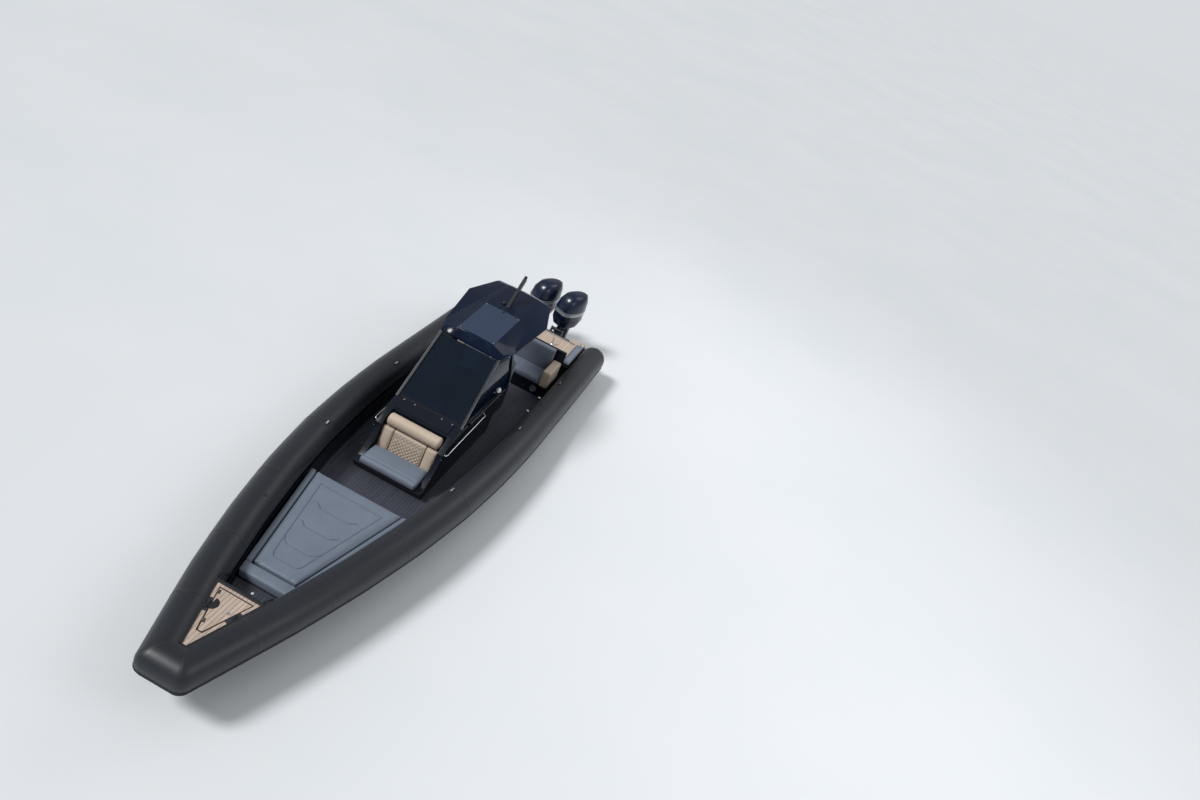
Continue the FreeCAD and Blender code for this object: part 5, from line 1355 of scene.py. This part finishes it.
class BuildConsole(bpy.types.Operator):
    """Console with its hatch, front seat, rails, frames, glass and helm"""
    bl_idname = "ribboat.console"
    bl_label = "Console"

    def execute(self, context):
        dressed("console", "console_shell", width=0.014, segments=4)
        dressed("console_hatch", "console_hatch_lid", width=0.006)
        dressed("console_wings", "console_wing_shells", width=0.006)
        dressed("hardtop_frames", "hardtop_frame_bars", width=0.009)
        dressed("glazing", "glazing_panes", width=0.001, segments=1)
        self.seat()
        self.trims()
        self.helm()
        return {"FINISHED"}

    def seat(self):
        seat = brick((0.36, 0.895), (-0.557, 0.557), (0.401, 0.535))
        fold = [[(0.78, -0.54), (0.78, 0.54)]]
        cushion("front_seat_pad", [seat], (0.06, 0.03, 0.05), 0.03, "front_seat_cushion", seams=fold,
                levels=2)
        side = [(0.252, 0.402), (0.352, 0.402), (0.142, 0.883), (0.242, 0.883)]
        pad = cushion("front_back_quilted", [leaning(side, -0.328, 0.328)], (0.02, 0.025, 0.04), 0.024,
                      "front_backrest", levels=2, crown=0.006, pull=0.002, axes=(1, 2), piped=False)
        quilt(pad, sizes().quilt_pitch, (1, 2), (1, 0, 0.22), 0.016, ((-0.315, 0.315), (0.42, 0.868)))
        sewn_net(pad, "front_back_thread", sizes().quilt_pitch, ((-0.31, 0.31), (0.425, 0.863)),
                 (1, 0, 0.22), 0.0026, "front_backrest")
        cushion("front_bolster_pads", [leaning(side, -0.557, -0.336), leaning(side, 0.336, 0.557)],
                (0.03, 0.03, 0.05), 0.024, "front_bolsters", crown=0.012, axes=(1, 2))
        roll = brick((0.012, 0.248), (-0.538, 0.538), (0.887, 1.123))
        cushion("headrest_bolster", [roll], (0.117, 0.05, 0.117), 0.034, "headrest_roll", crown=0.0,
                pull=0.0, piped=False)

    def trims(self):
        """Grab rails, hatch studs, dark sills, painted highlights along the frames' edges, mirror and side
        fittings.
        """
        rails, feet, studs, covers, sills = [], [], [], [], []
        for side in (1, -1):
            path = [(0.22, side * 0.688, 0.9), (0.21, side * 0.735, 0.925), (0.05, side * 0.745, 0.96),
                    (-1.1, side * 0.748, 1.0), (-1.3, side * 0.742, 1.0), (-1.34, side * 0.688, 1.0)]
            rails.append(swept("rail", smooth_line(path, 0.03), circle(sizes().rail_tube / 2, 14)))
            for x, z in ((0.22, 0.9), (-1.34, 1.0)):
                feet.append((Vector((x, side * 0.688, z)), facing((0, side, 0))))
            studs.append((Vector((0.33, side * 0.692, 0.86)), facing((0, side, 0))))
            studs.append((Vector((0.62, side * 0.69, 0.6)), facing((0, side, 0))))
            for y in (0.28, 0.5):
                covers.append((Vector((-0.25, side * y, 1.2337)), facing((0.31, 0, 0.95))))
        settle(joined("console_grab_rails", rails), "stainless")
        copies("rail_feet", button("rail_foot", 0.032, 0.008), feet, "stainless")
        copies("console_studs", button("stud", 0.014, 0.006), studs, "stainless")
        copies("hatch_studs", button("stud", 0.014, 0.006), covers, "stainless", body="hatch_lid")
        for x, z in ((-0.295, 1.228), (-0.325, 1.238)):
            sills.append(swept("sill", [(x, -0.6, z), (x, 0.6, z)], rounded(0.014, 0.012, 0.004, 3)))
        settle(joined("windscreen_sills", sills), "fittings_black")
        # Silver lines along the frames' outer edges are painted highlights, where light catches the edges of
        # the black frames.
        edge_trim("frame_bright_lines", "hardtop_frames", 0.0025,
                  lambda both, side: both.y * side > 0.5 and both.z > 0.2, "stainless", "band_lacquer")
        mirror = [stand(button("shell", 0.055, 0.035), (-1.66, 0.72, 1.42), facing((0.75, 0.5, 0.4))),
                  swept("stalk", [(-1.7, 0.71, 1.32), (-1.675, 0.72, 1.42)], circle(0.01, 10))]
        settle(joined("side_lamp", mirror), "fittings_black", "frosted_lens")
        fitting = [stand(button("fill", 0.03, 0.012), (x, side * y, z))
                   for x, y, z in ((-3.23, 1.205, 0.672), (-2.6, 1.205, 0.672)) for side in (1, -1)]
        settle(joined("deck_filler_caps", fitting), "stainless")

    def helm(self):
        dressed("steering_wheel", "steering_wheel_rim", width=0)
        dressed("helm_fittings", "helm_fitting_shells", width=0.004)
        low_x, low_z = -1.85, 1.05
        slope = Vector((0.15, 0, 0.25)).normalized()
        out = Vector((-slope.z, 0, slope.x))
        middle = Vector((low_x, -0.125, low_z)) + slope * 0.157 + out * 0.0216
        across = Vector((0, 1, 0))
        corners = [middle + across * a + slope * b for a, b in rounded(0.34, 0.19, 0.01)]
        glass = from_rings("display_pane", [corners, [c + out * 0.0015 for c in corners]])
        settle(glass, "fittings_black", "display_glass")
        places = [(Vector((low_x, 0.4 + 0.035 * k, low_z)) + slope * s + out * 0.001, facing(out))
                  for k in range(6) for s in (0.08, 0.14)]
        switch = slab("switch", rounded(0.024, 0.034, 0.005), 0, 0.006)
        round_edges(switch, 0.002, 2)
        applied(switch)
        copies("helm_switches", switch, places, "fittings_black")
        dressed("helm_seat_pod", "helm_seat_pod_shell", width=0.012)
        seats, backs = [], []
        for side in (1, -1):
            a, b = sorted((side * 0.028, side * 0.557))
            seats.append(brick((-2.888, -2.484), (a, b), (0.762, 0.875)))
            backs.append(leaning([(-3.016, 0.764), (-2.896, 0.764), (-3.016, 1.376), (-2.896, 1.376)], a, b))
        cushion("helm_seat_pads", seats, (0.04, 0.035, 0.045), 0.028, "helm_seat_cushions",
                seams=[[(-2.6, -0.55), (-2.6, 0.55)]])
        cushion("helm_back_pads", backs, (0.035, 0.05, 0.045), 0.028, "helm_seat_backs", axes=(1, 2),
                seams=[[(-0.55, 1.0), (0.55, 1.0)], [(-0.55, 1.2), (0.55, 1.2)]])


class BuildHardtop(bpy.types.Operator):
    """Hardtop with its matt panel, antennas, mast and lamp"""
    bl_idname = "ribboat.hardtop"
    bl_label = "Hardtop"

    def execute(self, context):
        dressed("hardtop", "hardtop_shell", width=0.01, angle=6)
        dressed("roof_panel", "roof_walk_panel", width=0.003)
        dressed("mast", "mast_blade", width=0.008)
        tilt = facing((0.051, 0, 1))
        screws = [(Vector((x, y, self.on_top(x, y, "roof_panel"))), tilt)
                  for x in (-1.555, -2.685) for y in (-0.356, 0.356)]
        copies("roof_panel_screws", button("screw", 0.014, 0.005), screws, "stainless")
        domes = []
        for x, y, r, h in ((-2.98, -0.11, 0.045, 0.05), (-2.77, -0.12, 0.022, 0.03),
                           (-2.65, 0.03, 0.022, 0.03)):
            arc = (0, 0.3, 0.7, 1.1, 1.4, 1.57)
            rows = [(r * math.sin(a), h * (0.35 + 0.65 * math.cos(a))) for a in arc]
            dome = lathe("dome", rows + [(r * 1.1, 0.004), (r * 1.1, 0)], 24)
            domes.append(stand(dome, (x, y, self.on_top(x, y, "hardtop", "roof_panel"))))
        settle(joined("roof_antennas", domes), "fittings_black")
        lens = lathe("mast_lamp", [(0, 0.05), (0.02, 0.048), (0.026, 0.04), (0.026, 0.005), (0.03, 0.0),
                                   (0, 0)], 24)
        stand(lens, (-3.478, 0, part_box("mast")[1][2] - 0.052))
        settle(lens, "fittings_black", "frosted_lens")
        return {"FINISHED"}

    def on_top(self, x, y, *nodes):
        """Height of the highest of some solids at a place."""
        hits = []
        for node in nodes:
            mesh = NODES[node].data
            tree = BVHTree.FromPolygons([v.co for v in mesh.vertices],
                                        [p.vertices[:] for p in mesh.polygons])
            hits.append(tree.ray_cast(Vector((x, y, 4)), -UP)[0])
        return max(hit.z for hit in hits if hit is not None)


class BuildAft(bpy.types.Operator):
    """Aft bench, side pads and the fittings of the aft deck"""
    bl_idname = "ribboat.aft"
    bl_label = "Aft bench and deck"

    def execute(self, context):
        dressed("aft_bench", "aft_bench_shell", width=0.01)
        seat = brick((-4.486, -3.94), (-0.918, 0.918), (0.481, 0.615))
        cushion("aft_seat_pad", [seat], (0.055, 0.035, 0.05), 0.034, "aft_seat_cushion",
                seams=[[(-4.5, -0.31), (-3.9, -0.31)], [(-4.5, 0.31), (-3.9, 0.31)]])
        back = leaning([(-4.607, 0.482), (-4.494, 0.482), (-4.607, 1.146), (-4.494, 1.146)], -0.918, 0.918)
        pad = cushion("aft_back_quilted", [back], (0.03, 0.035, 0.04), 0.026, "aft_backrest", levels=1,
                      crown=0.008, axes=(1, 2), piped=False)
        quilt(pad, sizes().fine_quilt_pitch, (1, 2), (1, 0, 0), 0.009, ((-0.9, 0.9), (0.5, 1.12)))
        sewn_net(pad, "aft_back_thread", sizes().fine_quilt_pitch, ((-0.895, 0.895), (0.505, 1.115)),
                 (1, 0, 0), 0.0015, "aft_backrest")
        rests = []
        for side in (1, -1):
            a, b = sorted((side * 0.93, side * 1.127))
            rests.append(brick((-4.606, -3.924), (a, b), (0.482, 0.885)))
        cushion("aft_armrests", rests, (0.04, 0.035, 0.045), 0.03, "aft_bolsters")
        pads, frames = [], []
        for side in (1, -1):
            a, b = sorted((side * 1.091, side * 1.246))
            pads.append(brick((-5.785, -4.743), (a, b), (0.793, 0.836)))
            corners = ((-5.79, 1.087), (-4.738, 1.087), (-4.738, 1.247), (-5.79, 1.247))
            ring = [Vector((x, side * y, 0.802)) for x, y in corners]
            frames.append(swept("pad_frame", ring, rounded(0.014, 0.03, 0.004, 3), True))
        pad = cushion("side_pad_covers", pads, (0.018, 0.018, 0.018), 0.018, "side_pads", crown=0.004,
                      piped=False)
        flute(pad, sizes().rib_pitch, 0.006)
        settle(joined("side_pad_frames", frames), "fittings_black")
        rows = [(0.0, 0.004), (0.02, 0.006), (0.028, 0.002), (0.036, 0.006), (0.044, 0.002), (0.052, 0.006),
                (0.06, 0.003), (0.066, 0.012), (0.08, 0.014), (0.088, 0.01), (0.092, 0.0), (0.0, 0.0)]
        places = [(Vector((-3.9505, side * 0.85, 0.355)), facing((1, 0, 0))) for side in (1, -1)]
        copies("speakers", lathe("speaker", rows, 40), places, "fittings_black")
        ring = lathe("ring", [(0.068, 0.013), (0.074, 0.0165), (0.08, 0.0155), (0.08, 0.012),
                              (0.068, 0.012)], 40)
        copies("speaker_rings", ring, places, "stainless")
        studs = [(Vector((-3.9505, side * 0.62, 0.32)), facing((1, 0, 0))) for side in (1, -1)]
        copies("bench_studs", button("stud", 0.012, 0.005), studs, "stainless")
        post = lathe("post", [(0, 0.2), (0.016, 0.198), (0.022, 0.19), (0.022, 0.02), (0.04, 0.008),
                              (0.045, 0.0), (0, 0)], 24)
        settle(stand(post, (-5.3, 0.61, 0.8)), "stainless")
        cleat = [swept("horn", smooth_line([(-0.085, 0, 0.034), (-0.05, 0, 0.042), (0, 0, 0.044),
                                            (0.05, 0, 0.042), (0.085, 0, 0.034)], 0.012),
                       rounded(0.02, 0.014, 0.006, 3))]
        cleat += [stand(button("leg", 0.012, 0.04), (x, 0, 0)) for x in (-0.03, 0.03)]
        places = [(Vector((-5.72, side * 1.168, 0.832)), facing(UP)) for side in (1, -1)]
        copies("stern_cleats", joined("cleat", cleat), places, "stainless")
        bar = swept("bar", smooth_line([(-5.744, -0.92, 0.799), (-5.745, -0.92, 0.81),
                                        (-5.745, -0.88, 0.818), (-5.745, 0.88, 0.818), (-5.745, 0.92, 0.81),
                                        (-5.744, 0.92, 0.799)], 0.02),
                    circle(0.0125, 12))
        settle(bar, "stainless")
        return {"FINISHED"}


class BuildOutboards(bpy.types.Operator):
    """Twin outboards with banded cowls"""
    bl_idname = "ribboat.outboards"
    bl_label = "Outboards"

    def execute(self, context):
        for side in ("port", "starboard"):
            stem = "outboard_%s_" % side
            dressed(stem + "bracket", stem + "clamp", width=0.006)
            dressed(stem + "swivel", stem + "steering_head", width=0.006)
            dressed(stem + "leg", stem + "casting", width=0.004, angle=50)
            dressed(stem + "propeller", stem + "screw", width=0)
            dressed(stem + "cowl", stem + "hood", width=0)
            bands = [band(stem + "cowl", 1.02, 1.09), band(stem + "cowl", 1.105, 1.118)]
            settle(joined(stem + "bands", bands), "outboard_paint", "band_lacquer", body=side + "_engine")
            seam = band(stem + "cowl", 0.862, 0.872)
            seam.name = stem + "hood_seam"
            settle(seam, "outboard_paint", "extruded_rubber", body=side + "_engine")
        return {"FINISHED"}


class BuildStage(bpy.types.Operator):
    """Floor at the waterline, soft lights and the camera"""
    bl_idname = "ribboat.stage"
    bl_label = "Stage"

    def execute(self, context):
        scene = bpy.context.scene
        size = 700.0
        floor = from_lists("floor", [(-size, -size, 0), (size, -size, 0), (size, size, 0), (-size, size, 0)],
                           [(0, 1, 2, 3)], recalc=False)
        floor.data.materials.append(finish("studio_floor"))
        world = bpy.data.worlds.new("studio")
        scene.world = world
        world.use_nodes = True
        sky = world.node_tree
        sky.nodes["Background"].inputs["Color"].default_value = linear("#f1f4f7")
        sky.nodes["Background"].inputs["Strength"].default_value = 0.42
        seen = add(sky, "ShaderNodeBackground", None, {"Color": linear("#d7dbdf"), "Strength": 1.0})
        path = add(sky, "ShaderNodeLightPath")
        mixed = add(sky, "ShaderNodeMixShader", None, {0: path.outputs["Is Camera Ray"],
                                                       1: sky.nodes["Background"].outputs[0],
                                                       2: seen.outputs[0]})
        sky.links.new(mixed.outputs[0], sky.nodes["World Output"].inputs["Surface"])
        for name, kind, place, target, energy, span in (
                ("key", "SUN", (7, -9, 13), (0, 0, 0), 2.3, 0.25),
                ("soft_side", "AREA", (3, 14, 12), (0, 0, 0.5), 450, 9.0),
                ("soft_top", "AREA", (-11, 6, 11), (-2, 0, 1), 260, 8.0)):
            light = bpy.data.lights.new(name, kind)
            light.energy = energy
            if kind == "SUN":
                light.angle = span
            else:
                light.shape = "DISK"
                light.size = span
            lamp = bpy.data.objects.new(name, light)
            lamp.location = place
            lamp.rotation_mode = "QUATERNION"
            lamp.rotation_quaternion = (Vector(target) - Vector(place)).to_track_quat("-Z", "Y")
            scene.collection.objects.link(lamp)
        self.camera(scene)
        scene.view_settings.view_transform = "Standard"
        return {"FINISHED"}

    def camera(self, scene):
        """The camera, high off the port bow and rolled as in the photograph."""
        azimuth, elevation, roll = math.radians(6.98), math.radians(31.09), math.radians(-23.78)
        forward = -Vector((math.cos(elevation) * math.cos(azimuth), math.cos(elevation) * math.sin(azimuth),
                           math.sin(elevation)))
        right = forward.cross(UP).normalized()
        down = forward.cross(right)
        across = right * math.cos(roll) + down * math.sin(roll)
        below = down * math.cos(roll) - right * math.sin(roll)
        lens = bpy.data.cameras.new("camera")
        lens.lens = 27
        lens.sensor_width = 36
        lens.clip_end = 2000
        camera = bpy.data.objects.new("camera", lens)
        turn = Matrix((across, -below, -forward)).transposed()
        camera.matrix_world = Matrix.Translation((12.488, 4.33, 10.865)) @ turn.to_4x4()
        scene.collection.objects.link(camera)
        scene.camera = camera


class BoatPanel(bpy.types.Panel):
    """The boat's sizes, colours and pieces"""
    bl_idname = "RIBBOAT_PT_panel"
    bl_label = "Rib Boat"
    bl_space_type = "VIEW_3D"
    bl_region_type = "UI"
    bl_category = "Rib Boat"

    def draw(self, context):
        for group in (context.scene.boat_sizes, context.scene.boat_colours):
            for name in group.__annotations__:
                self.layout.prop(group, name)
        for piece in PIECES:
            self.layout.operator(piece.bl_idname)


PIECES = [BuildStage, BuildTubes, BuildHull, BuildDecks, BuildSunpad, BuildConsole, BuildHardtop, BuildAft,
          BuildOutboards]
CLASSES = [BoatSizes, BoatColours, *PIECES, BoatPanel]


def register():
    for item in CLASSES:
        bpy.utils.register_class(item)
    bpy.types.Scene.boat_sizes = bpy.props.PointerProperty(type=BoatSizes)
    bpy.types.Scene.boat_colours = bpy.props.PointerProperty(type=BoatColours)


def unregister():
    del bpy.types.Scene.boat_sizes
    del bpy.types.Scene.boat_colours
    for item in reversed(CLASSES):
        bpy.utils.unregister_class(item)


def main():
    """Build every piece in order."""
    register()
    for piece in PIECES:
        group, action = piece.bl_idname.split(".")
        getattr(getattr(bpy.ops, group), action)()


if __name__ == "__main__":
    main()
